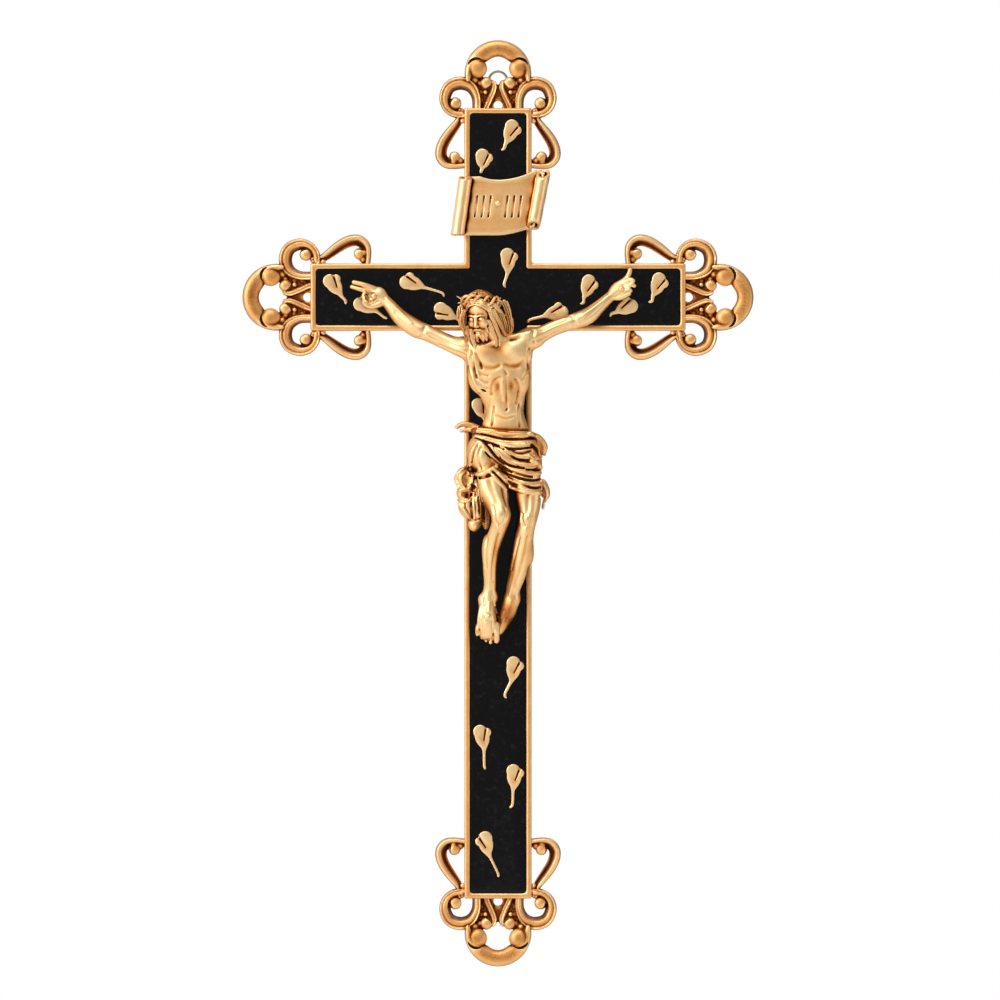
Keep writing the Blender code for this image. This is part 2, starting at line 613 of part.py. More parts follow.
def mass(x, y, z, half_x, half_y, half_z, turn):
    made = ball((0, 0, 0), [half * figure_step for half in (half_x, half_y, half_z)], *MASS_MESH)
    made.transform(Matrix.Translation(figure_point(x, y, z)) @ Matrix.Rotation(math.radians(turn), 4, "Z"))
    return made


def trunk():
    rings = []
    for y, x, z, half_x, half_z in smooth_path(TRUNK, TUBE_SPANS):
        turns = [2 * math.pi * k / TRUNK_SIDES for k in range(TRUNK_SIDES)]
        rings.append([figure_point(x + half_x * math.cos(a), y, z + half_z * math.sin(a)) for a in turns])
    return loft(rings)


clay = [tube(points) for points in LIMBS + LOCKS + CLOTH_FOLDS + CLOTH_ENDS] + [trunk()]
clay += [mass(*numbers) for numbers in MASSES + CLOTH_MASSES]
clay += [ball(figure_point(x, y, TOE_DEPTH), [radius * figure_step * share for share in TOE_SHAPE], *TOE_MESH)
         for x, y, radius in TOES]
for x, y, z, half in NAILS:
    low = figure_point(x - half, y - half, z - NAIL_SINK_STEPS)
    high = figure_point(x + half, y + half, z + NAIL_RISE_STEPS)
    clay.append(box(low, high))
corpus = add_object("corpus", together(clay), gold)

remesh = corpus.modifiers.new("clay", "REMESH")
remesh.mode = "VOXEL"
remesh.voxel_size = FIGURE_CLAY
soften = corpus.modifiers.new("soften", "SMOOTH")
soften.factor = 0.5
soften.iterations = CLAY_SMOOTHING_STEPS
thin = corpus.modifiers.new("thin", "DECIMATE")
thin.ratio = FIGURE_KEEP

# The figure's back is cut flat where it would lie on the cross
flat = box((-BEAM_LENGTH, shaft_bottom, -CROSS_DEPTH), (BEAM_LENGTH, shaft_top, seat))
flat_cutter = add_object("flat_back", flat, group=cutters)
flat_cutter.parent = board
cut = corpus.modifiers.new("flat_back", "BOOLEAN")
cut.operation = "DIFFERENCE"
cut.object = flat_cutter
cut.solver = "EXACT"
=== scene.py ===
import math

import bpy
import numpy as np
from mathutils import Euler, Matrix, Vector, noise


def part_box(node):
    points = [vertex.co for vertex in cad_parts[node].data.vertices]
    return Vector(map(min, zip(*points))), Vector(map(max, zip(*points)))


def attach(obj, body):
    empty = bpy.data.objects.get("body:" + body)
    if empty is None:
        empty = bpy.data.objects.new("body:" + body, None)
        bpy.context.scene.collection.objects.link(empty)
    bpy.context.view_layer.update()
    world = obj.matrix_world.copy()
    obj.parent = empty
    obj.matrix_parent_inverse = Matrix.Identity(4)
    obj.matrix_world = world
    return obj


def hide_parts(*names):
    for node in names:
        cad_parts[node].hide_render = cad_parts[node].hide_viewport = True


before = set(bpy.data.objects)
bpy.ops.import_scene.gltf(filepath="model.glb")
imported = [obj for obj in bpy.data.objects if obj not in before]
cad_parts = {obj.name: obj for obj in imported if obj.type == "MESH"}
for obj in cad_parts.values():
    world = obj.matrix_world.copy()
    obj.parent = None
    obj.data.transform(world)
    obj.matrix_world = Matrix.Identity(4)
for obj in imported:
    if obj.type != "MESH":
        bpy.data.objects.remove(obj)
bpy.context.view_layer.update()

# Cross casting: one brass casting of the cross, its leaves and its scrolled ends. It was cast,
# filed smooth along the rim, gilded, and toned dark so that the tone stays in the hollows.
# Places are across, up and out from the wall, as on a board. Scrolls are drawn in steps.
MM = 0.001
BAR_WIDTH = 18.4 * MM
BAR_STEPS = 67.3
STEP = BAR_WIDTH / BAR_STEPS
RIM_WIDTH = 1.5 * MM
RIM_GAP = 0.3 * MM
CROSSING_DROP = 51.7 * MM
CROSS_DEPTH = 5.6 * MM

field_low, field_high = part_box("enamel_field")
beam_half = field_high.x + RIM_WIDTH + RIM_GAP
shaft_top = field_high.z + RIM_WIDTH + RIM_GAP
shaft_bottom = field_low.z - RIM_WIDTH - RIM_GAP
crossing = shaft_top - CROSSING_DROP


def linear(colour):
    """An sRGB hex colour as linear red, green, blue and alpha."""
    parts = [int(colour[i:i + 2], 16) / 255 for i in (1, 3, 5)]
    return (*[p / 12.92 if p <= 0.04045 else ((p + 0.055) / 1.055) ** 2.4 for p in parts], 1.0)


def add_node(tree, kind, values=(), **settings):
    """A node with its settings, and its inputs set or linked by name or number."""
    made = tree.nodes.new(kind)
    for name, value in settings.items():
        setattr(made, name, value)
    for name, value in dict(values).items():
        if isinstance(value, bpy.types.NodeSocket):
            tree.links.new(value, made.inputs[name])
        else:
            made.inputs[name].default_value = value
    return made


def new_material(name):
    made = bpy.data.materials.new(name)
    made.use_nodes = True
    return made, made.node_tree, made.node_tree.nodes["Principled BSDF"]


# Gilded brass, cast and toned: the high places are rubbed back to pale satin gold, the plain places are a
# warmer gold, and the hollows keep a dark brown tone that hardly shines.
# The same amber and brown also paint shade on the sides of the figure and the scrolls, and in a few set
# places on the figure.
# The grain of the casting is drawn coarser than it is, so that it shows.
GILT_PALE = "#FFD9A2"
GILT_WARM = "#E6A762"
AMBER_TONE_AND_SHADE = "#94501C"
BROWN_TONE_AND_SHADE = "#260D04"
TONE_PATCH = 5.0 * MM
CAST_GRAIN = 0.45 * MM

gilt, tree, shader = new_material("gilded_brass_toned_and_painted_shade")
spot = add_node(tree, "ShaderNodeTexCoord").outputs["Object"]
# The attribute holds each point's tone of the hollows, with painted shade added on the figure and the scrolls
hollows_and_shade = add_node(tree, "ShaderNodeAttribute", attribute_name="hollow_tone_and_painted_shade").outputs["Fac"]
patches = add_node(tree, "ShaderNodeTexNoise", {"Vector": spot, "Scale": 1 / TONE_PATCH, "Detail": 4.0})
grain = add_node(tree, "ShaderNodeTexNoise", {"Vector": spot, "Scale": 1 / CAST_GRAIN, "Detail": 3.0})
drift = add_node(tree, "ShaderNodeMath", {
    0: patches.outputs["Fac"], 1: 0.10, 2: -0.05}, operation="MULTIPLY_ADD")
speck = add_node(tree, "ShaderNodeMath", {
    0: grain.outputs["Fac"], 1: 0.08, 2: -0.04}, operation="MULTIPLY_ADD")
uneven = add_node(tree, "ShaderNodeMath", {0: drift.outputs[0], 1: speck.outputs[0]}, operation="ADD")
toned_and_shaded = add_node(tree, "ShaderNodeMath", {0: hollows_and_shade, 1: uneven.outputs[0]}, operation="ADD")
# Half is the hollowness of a plain place
colours = add_node(tree, "ShaderNodeValToRGB", {"Fac": toned_and_shaded.outputs[0]})
stops = colours.color_ramp.elements
stops[0].position, stops[0].color = 0.40, linear(GILT_PALE)
stops[1].position, stops[1].color = 0.54, linear(GILT_WARM)
for place_on_ramp, colour in ((0.62, AMBER_TONE_AND_SHADE), (0.72, BROWN_TONE_AND_SHADE)):
    stops.new(place_on_ramp).color = linear(colour)
polish = add_node(tree, "ShaderNodeMapRange", {
    "Value": toned_and_shaded.outputs[0], "From Min": 0.38, "From Max": 0.75, "To Min": 0.40, "To Max": 0.62})
pitting = add_node(tree, "ShaderNodeBump", {
    "Height": grain.outputs["Fac"], "Strength": 0.18, "Distance": 0.05 * MM})
tree.links.new(colours.outputs["Color"], shader.inputs["Base Color"])
tree.links.new(polish.outputs[0], shader.inputs["Roughness"])
tree.links.new(pitting.outputs[0], shader.inputs["Normal"])
shader.inputs["Metallic"].default_value = 1.0


def smooth(points, spans):
    """Points on a smooth curve through the given ones, with every column blended alike."""
    ends = [points[0], *points, points[-1]]
    path = []
    for a, b, c, d in zip(ends, ends[1:], ends[2:], ends[3:]):
        a, b, c, d = (np.array(p, float) for p in (a, b, c, d))
        for t in np.arange(spans) / spans:
            path.append(0.5 * (2 * b + (c - a) * t + (2 * a - 5 * b + 4 * c - d) * t * t
                               + (3 * b - a - 3 * c + d) * t ** 3))
    path.append(np.array(points[-1], float))
    return path


def blurred(grid, reach):
    """A grid averaged over a cube this many cells to either side, twice."""
    for axis in (0, 1, 2, 0, 1, 2):
        count = grid.shape[axis]
        sums = np.cumsum(grid, axis=axis, dtype=np.float32)
        after = np.minimum(np.arange(count) + reach, count - 1)
        before = np.arange(count) - reach - 1
        bare = (before < 0).reshape([-1 if i == axis else 1 for i in range(3)])
        start = np.where(bare, 0, sums.take(np.maximum(before, 0), axis=axis))
        grid = (sums.take(after, axis=axis) - start) / (2 * reach + 1)
    return grid


class Clay:
    """A solid held as a grid of distances to its skin, in steps, negative inside."""

    def __init__(self, low, high, cell):
        self.low = np.array(low, float)
        self.cell = cell
        self.far = 9.0
        count = np.ceil((np.array(high, float) - self.low) / cell).astype(int) + 1
        self.field = np.full(count, self.far, np.float32)

    def window(self, low, high):
        """The grid between two corners, as slices and as x, y and z to work with."""
        first = np.floor((np.array(low, float) - self.low) / self.cell).astype(int)
        last = np.ceil((np.array(high, float) - self.low) / self.cell).astype(int) + 1
        first = np.clip(first, 0, self.field.shape)
        last = np.clip(last, first, self.field.shape)
        spans = tuple(slice(a, b) for a, b in zip(first, last))
        axes = [(self.low[i] + self.cell * np.arange(first[i], last[i])).astype(np.float32) for i in range(3)]
        return spans, axes[0][:, None, None], axes[1][None, :, None], axes[2][None, None, :]

    def blend(self, spans, shape, soft, carve=False):
        """Joins a shape to the clay, or cuts it out, with a fillet this soft."""
        here = self.field[spans]
        shape = -shape if carve else shape
        near = np.maximum(soft - np.abs(here - shape), 0)
        fillet = near * near / (4 * soft)
        self.field[spans] = np.maximum(here, shape) + fillet if carve else np.minimum(here, shape) - fillet

    def rope(self, points, soft=2.0, carve=False, spans=4):
        """A round strand through points of right, up, out and radius."""
        path = smooth(points, spans)
        rope = np.array(path)
        reach = rope[:, 3].max() + soft + 2 * self.cell
        spans, x, y, z = self.window(rope[:, :3].min(0) - reach, rope[:, :3].max(0) + reach)
        shape = np.full(self.field[spans].shape, self.far, np.float32)
        for a, b in zip(path, path[1:]):
            ends = np.array([a, b])
            part, x, y, z = self.window(ends[:, :3].min(0) - reach, ends[:, :3].max(0) + reach)
            local = tuple(slice(p.start - s.start, p.stop - s.start) for p, s in zip(part, spans))
            along = (b - a)[:3]
            px, py, pz = x - a[0], y - a[1], z - a[2]
            t = np.clip((px * along[0] + py * along[1] + pz * along[2]) / max(along @ along, 1e-6), 0, 1)
            away = np.sqrt((px - t * along[0]) ** 2 + (py - t * along[1]) ** 2 + (pz - t * along[2]) ** 2)
            shape[local] = np.minimum(shape[local], away - (a[3] + t * (b[3] - a[3])))
        self.blend(spans, shape, soft, carve)

    def mass(self, centre, halves, soft=2.0, turn=0, axes=None, carve=False):
        """An egg-shaped mass with half sizes along its own axes."""
        halves = np.array(halves, float)
        if axes is None:
            axes = np.array(Matrix.Rotation(math.radians(turn), 3, "Z"))
        reach = halves.max() + soft + 2 * self.cell
        spans, x, y, z = self.window(np.array(centre) - reach, np.array(centre) + reach)
        px, py, pz = x - centre[0], y - centre[1], z - centre[2]
        local = [px * axes[0][i] + py * axes[1][i] + pz * axes[2][i] for i in range(3)]
        size = np.sqrt(sum((q / h) ** 2 for q, h in zip(local, halves)))
        slope = np.sqrt(sum((q / h ** 2) ** 2 for q, h in zip(local, halves)))
        self.blend(spans, size * (size - 1) / np.maximum(slope, 1e-6), soft, carve)

    def skin(self, x, y):
        """How far out the front of the clay stands."""
        i, j = (int(round((v - l) / self.cell)) for v, l in zip((x, y), self.low))
        column = self.field[i, j]
        inside = np.flatnonzero(column < 0)
        if not len(inside):
            return 0.0
        k = inside[-1]
        return self.low[2] + self.cell * (k + column[k] / (column[k] - column[k + 1]))

    def line(self, points, rise, soft=1.0, spans=4):
        """A fold that stands up from the skin, or for a rise below zero a groove, through
        points of right, up and radius."""
        path = smooth(points, spans)
        side = -1 if rise > 0 else 1
        laid = [(x, y, self.skin(x, y) + rise + side * r, r) for x, y, r in path]
        self.rope(laid, soft, carve=rise < 0, spans=1)

    def skinned(self):
        """The skin as points in steps and four-sided faces, a point to each cell it crosses."""
        for axis in range(3):
            for side in (0, -1):
                self.field[tuple(side if i == axis else slice(None) for i in range(3))] = self.cell
        inside = self.field < 0
        count = np.zeros(np.array(inside.shape) - 1, np.int8)
        for corner in np.ndindex(2, 2, 2):
            count += inside[tuple(slice(c, c + n) for c, n in zip(corner, count.shape))]
        cells = np.argwhere((count > 0) & (count < 8))
        number = np.full(count.shape, -1, np.int32)
        number[tuple(cells.T)] = np.arange(len(cells))
        total = np.zeros((len(cells), 3))
        hits = np.zeros(len(cells))
        unit = np.eye(3, dtype=int)
        for axis in range(3):
            for corner in np.ndindex(2, 2):
                offset = np.insert(corner, axis, 0)
                start = cells + offset
                end = start + unit[axis]
                a = self.field[tuple(start.T)]
                b = self.field[tuple(end.T)]
                crossed = (a < 0) != (b < 0)
                share = a[crossed] / (a[crossed] - b[crossed])
                total[crossed] += offset + unit[axis] * share[:, None]
                hits[crossed] += 1
        points = self.low + self.cell * (cells + total / hits[:, None])
        faces = []
        for axis in range(3):
            u, v = unit[(axis + 1) % 3], unit[(axis + 2) % 3]
            stop = [-1 if i == axis else None for i in range(3)]
            a = inside[tuple(slice(None, s) for s in stop)]
            b = inside[tuple(slice(1 if s else None, None) for s in stop)]
            spots = np.argwhere(a != b)
            leaving = a[tuple(spots.T)]
            ring = [number[tuple((spots - du * u - dv * v).T)] for du, dv in ((0, 0), (1, 0), (1, 1), (0, 1))]
            ring = np.stack(ring, axis=1)
            ring[~leaving] = ring[~leaving][:, ::-1]
            faces.append(ring)
        return points, np.concatenate(faces)

    def hollowness(self, points, reach):
        """How much clay lies round each point: half on a plain, more in a hollow."""
        solid = np.clip(0.5 - self.field / self.cell, 0, 1)
        even = [n // 2 * 2 for n in solid.shape]
        solid = solid[:even[0], :even[1], :even[2]]
        half = solid.reshape(even[0] // 2, 2, even[1] // 2, 2, even[2] // 2, 2).mean((1, 3, 5))
        half = blurred(half, reach)
        spot = np.clip((points - self.low) / (2 * self.cell) - 0.25, 0, np.array(half.shape) - 1.001)
        base = spot.astype(int)
        share = spot - base
        total = 0
        for corner in np.ndindex(2, 2, 2):
            weight = np.prod(np.where(corner, share, 1 - share), axis=1)
            total = total + weight * half[tuple((base + corner).T)]
        return total


def triangles(mesh):
    mesh.calc_loop_triangles()
    faces = np.zeros(len(mesh.loop_triangles) * 3, np.int32)
    mesh.loop_triangles.foreach_get("vertices", faces)
    points = np.zeros(len(mesh.vertices) * 3, np.float32)
    mesh.vertices.foreach_get("co", points)
    return points.reshape(-1, 3).astype(float), faces.reshape(-1, 3)


def cast(clay, limit, *reaches):
    """The clay's skin thinned to so many triangles, as points, faces and hollowness."""
    points, faces = clay.skinned()
    mesh = bpy.data.meshes.new("skin")
    mesh.from_pydata(points.tolist(), [], faces.tolist())
    full = bpy.data.objects.new("skin", mesh)
    bpy.context.scene.collection.objects.link(full)
    thin = full.modifiers.new("thin", "DECIMATE")
    thin.ratio = min(1.0, limit / (2 * len(faces)))
    depsgraph = bpy.context.evaluated_depsgraph_get()
    result = bpy.data.meshes.new_from_object(full.evaluated_get(depsgraph))
    points, faces = triangles(result)
    bpy.data.objects.remove(full)
    bpy.data.meshes.remove(mesh)
    bpy.data.meshes.remove(result)
    return points, faces, *[clay.hollowness(points, reach) for reach in reaches]


def placed(points, x, y, degrees):
    """Points in steps turned, and moved to a place on the board."""
    turned = math.radians(degrees)
    points = points * STEP
    return np.stack([
        x + points[:, 0] * math.cos(turned) - points[:, 1] * math.sin(turned),
        y + points[:, 0] * math.sin(turned) + points[:, 1] * math.cos(turned),
        points[:, 2]], axis=1)


def facing_out(points, faces):
    """How squarely the skin faces outward at each point, from 0 at the sides to 1."""
    corners = points[faces]
    across = np.cross(corners[:, 1] - corners[:, 0], corners[:, 2] - corners[:, 0])
    normals = np.zeros_like(points)
    for i in range(3):
        np.add.at(normals, faces[:, i], across)
    return np.clip(normals[:, 2] / np.maximum(np.linalg.norm(normals, axis=1), 1e-9), 0, 1)


def stood_up(points):
    """Board places, across, up and out, as places in the room."""
    points = np.asarray(points, float)
    return np.stack([points[:, 0], -points[:, 2], points[:, 1]], axis=1)


def add_piece(name, parts, look, body="root", crease=None):
    """One object from parts of points, faces and hollowness, with painted shade added to the hollowness of
    some parts.
    """
    points, faces, hollows, offset = [], [], [], 0
    for part_points, part_faces, part_hollows in parts:
        points.append(part_points)
        faces += (np.asarray(part_faces) + offset).tolist() if isinstance(part_faces, np.ndarray) else [
            [i + offset for i in face] for face in part_faces]
        hollows.append(np.broadcast_to(part_hollows, len(part_points)))
        offset += len(part_points)
    mesh = bpy.data.meshes.new(name)
    mesh.from_pydata(stood_up(np.concatenate(points)).tolist(), [], faces)
    mesh.validate()
    mesh.shade_smooth()
    if crease:
        mesh.set_sharp_from_angle(angle=math.radians(crease))
    hollow_tone_and_painted_shade = mesh.attributes.new("hollow_tone_and_painted_shade", "FLOAT", "POINT")
    hollow_tone_and_painted_shade.data.foreach_set("value", np.concatenate(hollows).astype(np.float32))
    mesh.materials.append(look)
    made = bpy.data.objects.new(name, mesh)
    bpy.context.scene.collection.objects.link(made)
    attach(made, body)
    return made


# The body: walls, a softly rounded rim and the bed that the enamel lies on
OUTLINE_SPACING = 1.6 * MM
CORNER_STEPS = 5
FILE_MARK = 0.05 * MM
FILE_PITCH = 7 * MM

# The straight sides of the outline, from the top end round by the left, in point spacings
arm_up = CROSSING_DROP - BAR_WIDTH / 2
arm_side = beam_half - BAR_WIDTH / 2
arm_down = crossing - shaft_bottom - BAR_WIDTH / 2
side_spans = [length / OUTLINE_SPACING for length in (
    BAR_WIDTH, arm_up, arm_side, BAR_WIDTH, arm_side, arm_down, BAR_WIDTH, arm_down, arm_side, BAR_WIDTH,
    arm_side, arm_up)]


def cross_outline(inset, end_radius, inner_radius, height, waver=0.0):
    """The cross's outline, this far in from its edge, with rounded corners."""
    half = BAR_WIDTH / 2 - inset
    side = beam_half - inset
    above, below = crossing + half, crossing - half
    top, foot = shaft_top - inset, shaft_bottom + inset
    corners = [(half, top), (-half, top), (-half, above), (-side, above), (-side, below), (-half, below),
               (-half, foot), (half, foot), (half, below), (side, below), (side, above), (half, above)]
    arcs = []
    for i, (x, y) in enumerate(corners):
        inner = i in (2, 5, 8, 11)
        radius = inner_radius if inner else end_radius
        into = (Vector(corners[i - 1]) - Vector((x, y))).normalized()
        out = (Vector(corners[(i + 1) % 12]) - Vector((x, y))).normalized()
        centre = Vector((x, y)) + radius * (into + out)
        turns = [math.pi / 2 * k / CORNER_STEPS for k in range(CORNER_STEPS + 1)]
        arcs.append([centre - radius * (out * math.cos(a) + into * math.sin(a)) for a in turns])
    points = []
    for i, arc in enumerate(arcs):
        points += arc
        start, end = arc[-1], arcs[(i + 1) % 12][0]
        count = max(int(side_spans[i]), 2)
        points += [start.lerp(end, k / count) for k in range(1, count)]
    laid = []
    for p in points:
        shift = waver * noise.noise(Vector((p.x, p.y, height)) / FILE_PITCH)
        laid.append((p.x + shift, p.y + shift, height))
    return laid


def stacked(rings, hollows):
    """Rings of points joined into one skin and closed at both ends."""
    count = len(rings[0])
    points = np.array([p for ring in rings for p in ring])
    faces = []
    for r in range(len(rings) - 1):
        for i in range(count):
            j = (i + 1) % count
            faces.append([r * count + i, r * count + j, (r + 1) * count + j, (r + 1) * count + i])
    faces.append([i for i in reversed(range(count))])
    faces.append([(len(rings) - 1) * count + i for i in range(count)])
    return points, faces, np.repeat(hollows, count)


# How far in, how far out, corner radius at the ends and at the crossing, and hollowness, from
# the flat back round the wall and over the rim to the bed
RIM_SECTION = (
    (0.50, 0.00, 0.4, 0.9, 0.50), (0.12, 0.00, 0.4, 0.9, 0.50), (0.00, 0.12, 0.5, 0.8, 0.50),
    (0.00, 4.80, 0.5, 0.8, 0.52), (0.05, 5.25, 0.5, 0.8, 0.49), (0.20, 5.48, 0.5, 0.8, 0.46),
    (0.42, 5.58, 0.5, 0.9, 0.49),
    (0.76, 5.60, 0.6, 0.9, 0.53), (1.10, 5.57, 0.8, 0.7, 0.50), (1.32, 5.48, 0.9, 0.6, 0.44),
    (1.45, 5.32, 1.0, 0.5, 0.58), (1.50, 5.05, 1.0, 0.5, 0.72), (1.50, 3.90, 1.0, 0.5, 0.80),
)
body = stacked(
    [cross_outline(inset * MM, end * MM, inner * MM, out * MM, FILE_MARK if out > 5 else 0)
     for inset, out, end, inner, _ in RIM_SECTION],
    [hollow_share for *_, hollow_share in RIM_SECTION])

# Leaves: arm, share of the arm's length from the crossing, share of the bar's half width
# across it, turn of the tail from straight down in degrees, length of the tail, notch side
LEAVES = (
    ("up", 0.894, 0.446, -27, 6.7, 1), ("up", 0.741, -0.416, -11, 4.4, 1),
    ("up", 0.217, 0.327, -7, 8.6, 1), ("left", 0.885, 0.475, 31, 7.2, 1),
    ("left", 0.725, -0.178, 59, 8.0, 1), ("left", 0.480, 0.475, 67, 10.7, 1),
    ("left", 0.304, -0.416, 68, 6.8, -1), ("right", 0.331, -0.416, -71, 9.3, -1),
    ("right", 0.490, 0.416, -24, 6.2, 1), ("right", 0.700, -0.238, -60, 6.0, -1),
    ("right", 0.864, 0.475, -28, 6.5, 1), ("down", 0.180, -0.520, 15, 5.5, 1),
    ("down", 0.611, 0.505, -15, 9.4, 1), ("down", 0.724, -0.475, 5, 9.9, 1),
    ("down", 0.790, 0.505, -8, 9.7, 1), ("down", 0.902, -0.416, 21, 10.8, -1),
)
LEAF_CELL = 0.42
LEAF_TOP = 20.7
LEAF_EDGE = 1.4
LEAF_CROWN = 0.7
LEAF_LIMIT = 1500
# A leaf's body below its head: across towards the notch, down and half width
LEAF_BODY = ((-0.3, -4, 7.0), (0.2, -7.5, 5.9), (0.5, -11, 4.0), (0.7, -14.5, 2.3), (0.5, -18, 1.4))
LEAF_SLIT = ((5.6, 7.8, 2.0), (4.3, 4.6, 1.6), (3.0, -0.5, 1.0), (1.3, -8, 0.7))
LEAF_BODY_TAIL = 26
TAIL_BEND = 2.6


def leaf(tail, side, bend):
    """One leaf in steps, head at the origin and tail straight down: a wide lobe and a narrow
    one, a slit between them and a tail that bends as it runs out to nothing."""
    clay = Clay((-13, -tail - 4, 12), (13, 12, LEAF_TOP + 2), LEAF_CELL)
    spans, x, y, z = clay.window((-13, -tail - 4, 12), (13, 12, LEAF_TOP + 2))
    x, y = x[:, :, 0], y[:, :, 0]
    outline = np.minimum(np.hypot(x + side * 1.8, y - 1.0) - 7.0, np.hypot(x - side * 4.6, y + 0.2) - 4.6)
    squeeze = min(1, tail / LEAF_BODY_TAIL)
    body_path = [(side * px, py * squeeze, half) for px, py, half in LEAF_BODY]
    path = smooth([*body_path, (bend, -tail * 0.9, 1.1), (0, -tail, 0.5)], 5)
    for a, b in zip(path, path[1:]):
        along = b[:2] - a[:2]
        t = np.clip(((x - a[0]) * along[0] + (y - a[1]) * along[1]) / (along @ along), 0, 1)
        away = np.hypot(x - a[0] - t * along[0], y - a[1] - t * along[1]) - (a[2] + t * (b[2] - a[2]))
        near = np.maximum(1.2 - np.abs(outline - away), 0)
        outline = np.minimum(outline, away) - near * near / 4.8
    rim = 1 - np.clip(-outline / LEAF_EDGE, 0, 1)
    top = LEAF_TOP - LEAF_CROWN * (1 - np.sqrt(np.maximum(1 - rim * rim, 0)))
    clay.field[spans] = np.maximum(outline[:, :, None], z - top[:, :, None])
    clay.rope([(side * px, py, LEAF_TOP - 0.2, r) for px, py, r in LEAF_SLIT], 0.3, carve=True)
    points, faces, hollows = cast(clay, LEAF_LIMIT, 2)
    return points, faces, 0.51 + 1.4 * (hollows - 0.47)


leaves = []
for arm, along, across, turn, tail, side in LEAVES:
    reach = {"up": CROSSING_DROP, "down": crossing - shaft_bottom}.get(arm, beam_half)
    aside = across * BAR_WIDTH / 2
    x, y = {"up": (aside, along * reach), "down": (aside, -along * reach),
            "left": (-along * reach, aside), "right": (along * reach, aside)}[arm]
    points, faces, hollows = leaf(tail * MM / STEP, side, TAIL_BEND * math.sin(17 * along))
    leaves.append((placed(points, x, crossing + y, turn), faces, hollows))

# Scrolled ends, alike on all four arms. Each band is across, out from the arm's end and half
# width along its middle, and runs clockwise, so that its left side is the outer one.
BACK = 4.0
BOW_TOP, VOLUTE_TOP, EAR_TOP, TENDRIL_TOP, WEB_TOP = 18.6, 17.5, 16.4, 15.3, 9.5
# The small round hole between the tendrils: out from the arm's end and radius
HOLE_OUT, HOLE_RADIUS = 2.8, 4.6
HOLE_WEB_TOP = 7.5
BOW_OUTER = 33.35
BOW_MIDDLE = 34.7
# Half width of the bow by degrees from its top
BOW_WIDTHS = ((-10, 8.0), (15, 8.2), (38, 8.4), (60, 7.0), (80, 5.2), (92, 4.2), (102, 2.8))
BOW = [((BOW_OUTER - half) * math.sin(math.radians(a)),
        BOW_MIDDLE + (BOW_OUTER - half) * math.cos(math.radians(a)), half)
       for a, half in smooth(BOW_WIDTHS, 2)]
VOLUTE = ((21.5, -3, 4.4), (21.8, 11, 4.6), (27.5, 21.5, 5.8), (38, 25.2, 6.6), (48.4, 21.3, 6.3),
          (53, 11, 5.8), (50.8, 1.5, 5.2), (44, -4.2, 4.8), (36, -5.6, 4.4))
EAR = ((37.5, -3, 3.4), (38.5, -11, 3.8), (43, -18, 4.6), (49, -26, 5.4), (54, -34, 5.7), (56.8, -42, 5.8),
       (56.4, -49, 5.7), (51.5, -54.5, 5.4), (43, -55.8, 5.0), (31, -55, 4.4))
TENDRIL = ((13.4, -3, 3.7), (11, 4, 3.6), (6.8, 13, 3.5), (4.3, 20, 3.5), (4.8, 25, 3.2))
# Height of each band's section, from its inner edge to its outer one, as a share of its top
BOW_SECTION = ((-1, 0.66), (-0.8, 0.84), (-0.5, 0.94), (0, 0.99), (0.35, 1.0), (0.7, 0.95), (0.9, 0.82),
               (1, 0.6))
VOLUTE_SECTION = ((-1, 0.20), (-0.8, 0.42), (-0.62, 0.78), (-0.3, 0.96), (0.1, 1.0), (0.32, 0.97),
                  (0.46, 0.92), (0.6, 0.95), (0.76, 0.99), (0.9, 0.88), (1, 0.6))
EAR_SECTION = ((-1, 0.16), (-0.75, 0.24), (-0.5, 0.34), (-0.3, 0.56), (-0.08, 0.86), (0.2, 0.98), (0.6, 1.0),
               (0.85, 0.88), (1, 0.6))
TENDRIL_SECTION = ((-1, 0.45), (-0.7, 0.82), (-0.2, 1.0), (0.15, 0.90), (0.45, 0.90), (0.75, 1.0), (1, 0.6))
# Corners of the sunk web at each side, across and out
WEB = ((5, -3), (20, -3), (24, 14), (26.5, 29), (20, 35), (10, 28), (3.5, 18))
SCROLL_CELL = 0.52
SCROLL_LIMIT = 34000

scroll = Clay((-64, -65, 1), (64, 72, 21), SCROLL_CELL)
spans, x, y, z = scroll.window((-64, -65, 1), (64, 72, 21))
x, y = np.abs(x[:, :, 0]), y[:, :, 0]
for points, top, section in ((BOW, BOW_TOP, BOW_SECTION), (VOLUTE, VOLUTE_TOP, VOLUTE_SECTION),
                             (EAR, EAR_TOP, EAR_SECTION), (TENDRIL, TENDRIL_TOP, TENDRIL_SECTION)):
    path = smooth(points, 4)
    best = np.full(np.broadcast(x, y).shape, 99.0)
    offset = np.zeros_like(best)
    half = np.ones_like(best)
    for a, b in zip(path, path[1:]):
        along = b[:2] - a[:2]
        t = np.clip(((x - a[0]) * along[0] + (y - a[1]) * along[1]) / (along @ along), 0, 1)
        dx, dy = x - a[0] - t * along[0], y - a[1] - t * along[1]
        away = np.hypot(dx, dy)
        width = a[2] + t * (b[2] - a[2])
        left = np.sign(along[0] * dy - along[1] * dx)
        closer = away - width < best
        best = np.where(closer, away - width, best)
        offset = np.where(closer, left * away / width, offset)
        half = np.where(closer, width, half)
    shares, heights = zip(*section)
    crest = BACK + (top - BACK) * np.interp(offset, shares, heights)
    shape = np.maximum(best[:, :, None], z - crest[:, :, None])
    scroll.blend(spans, shape, 0.7)

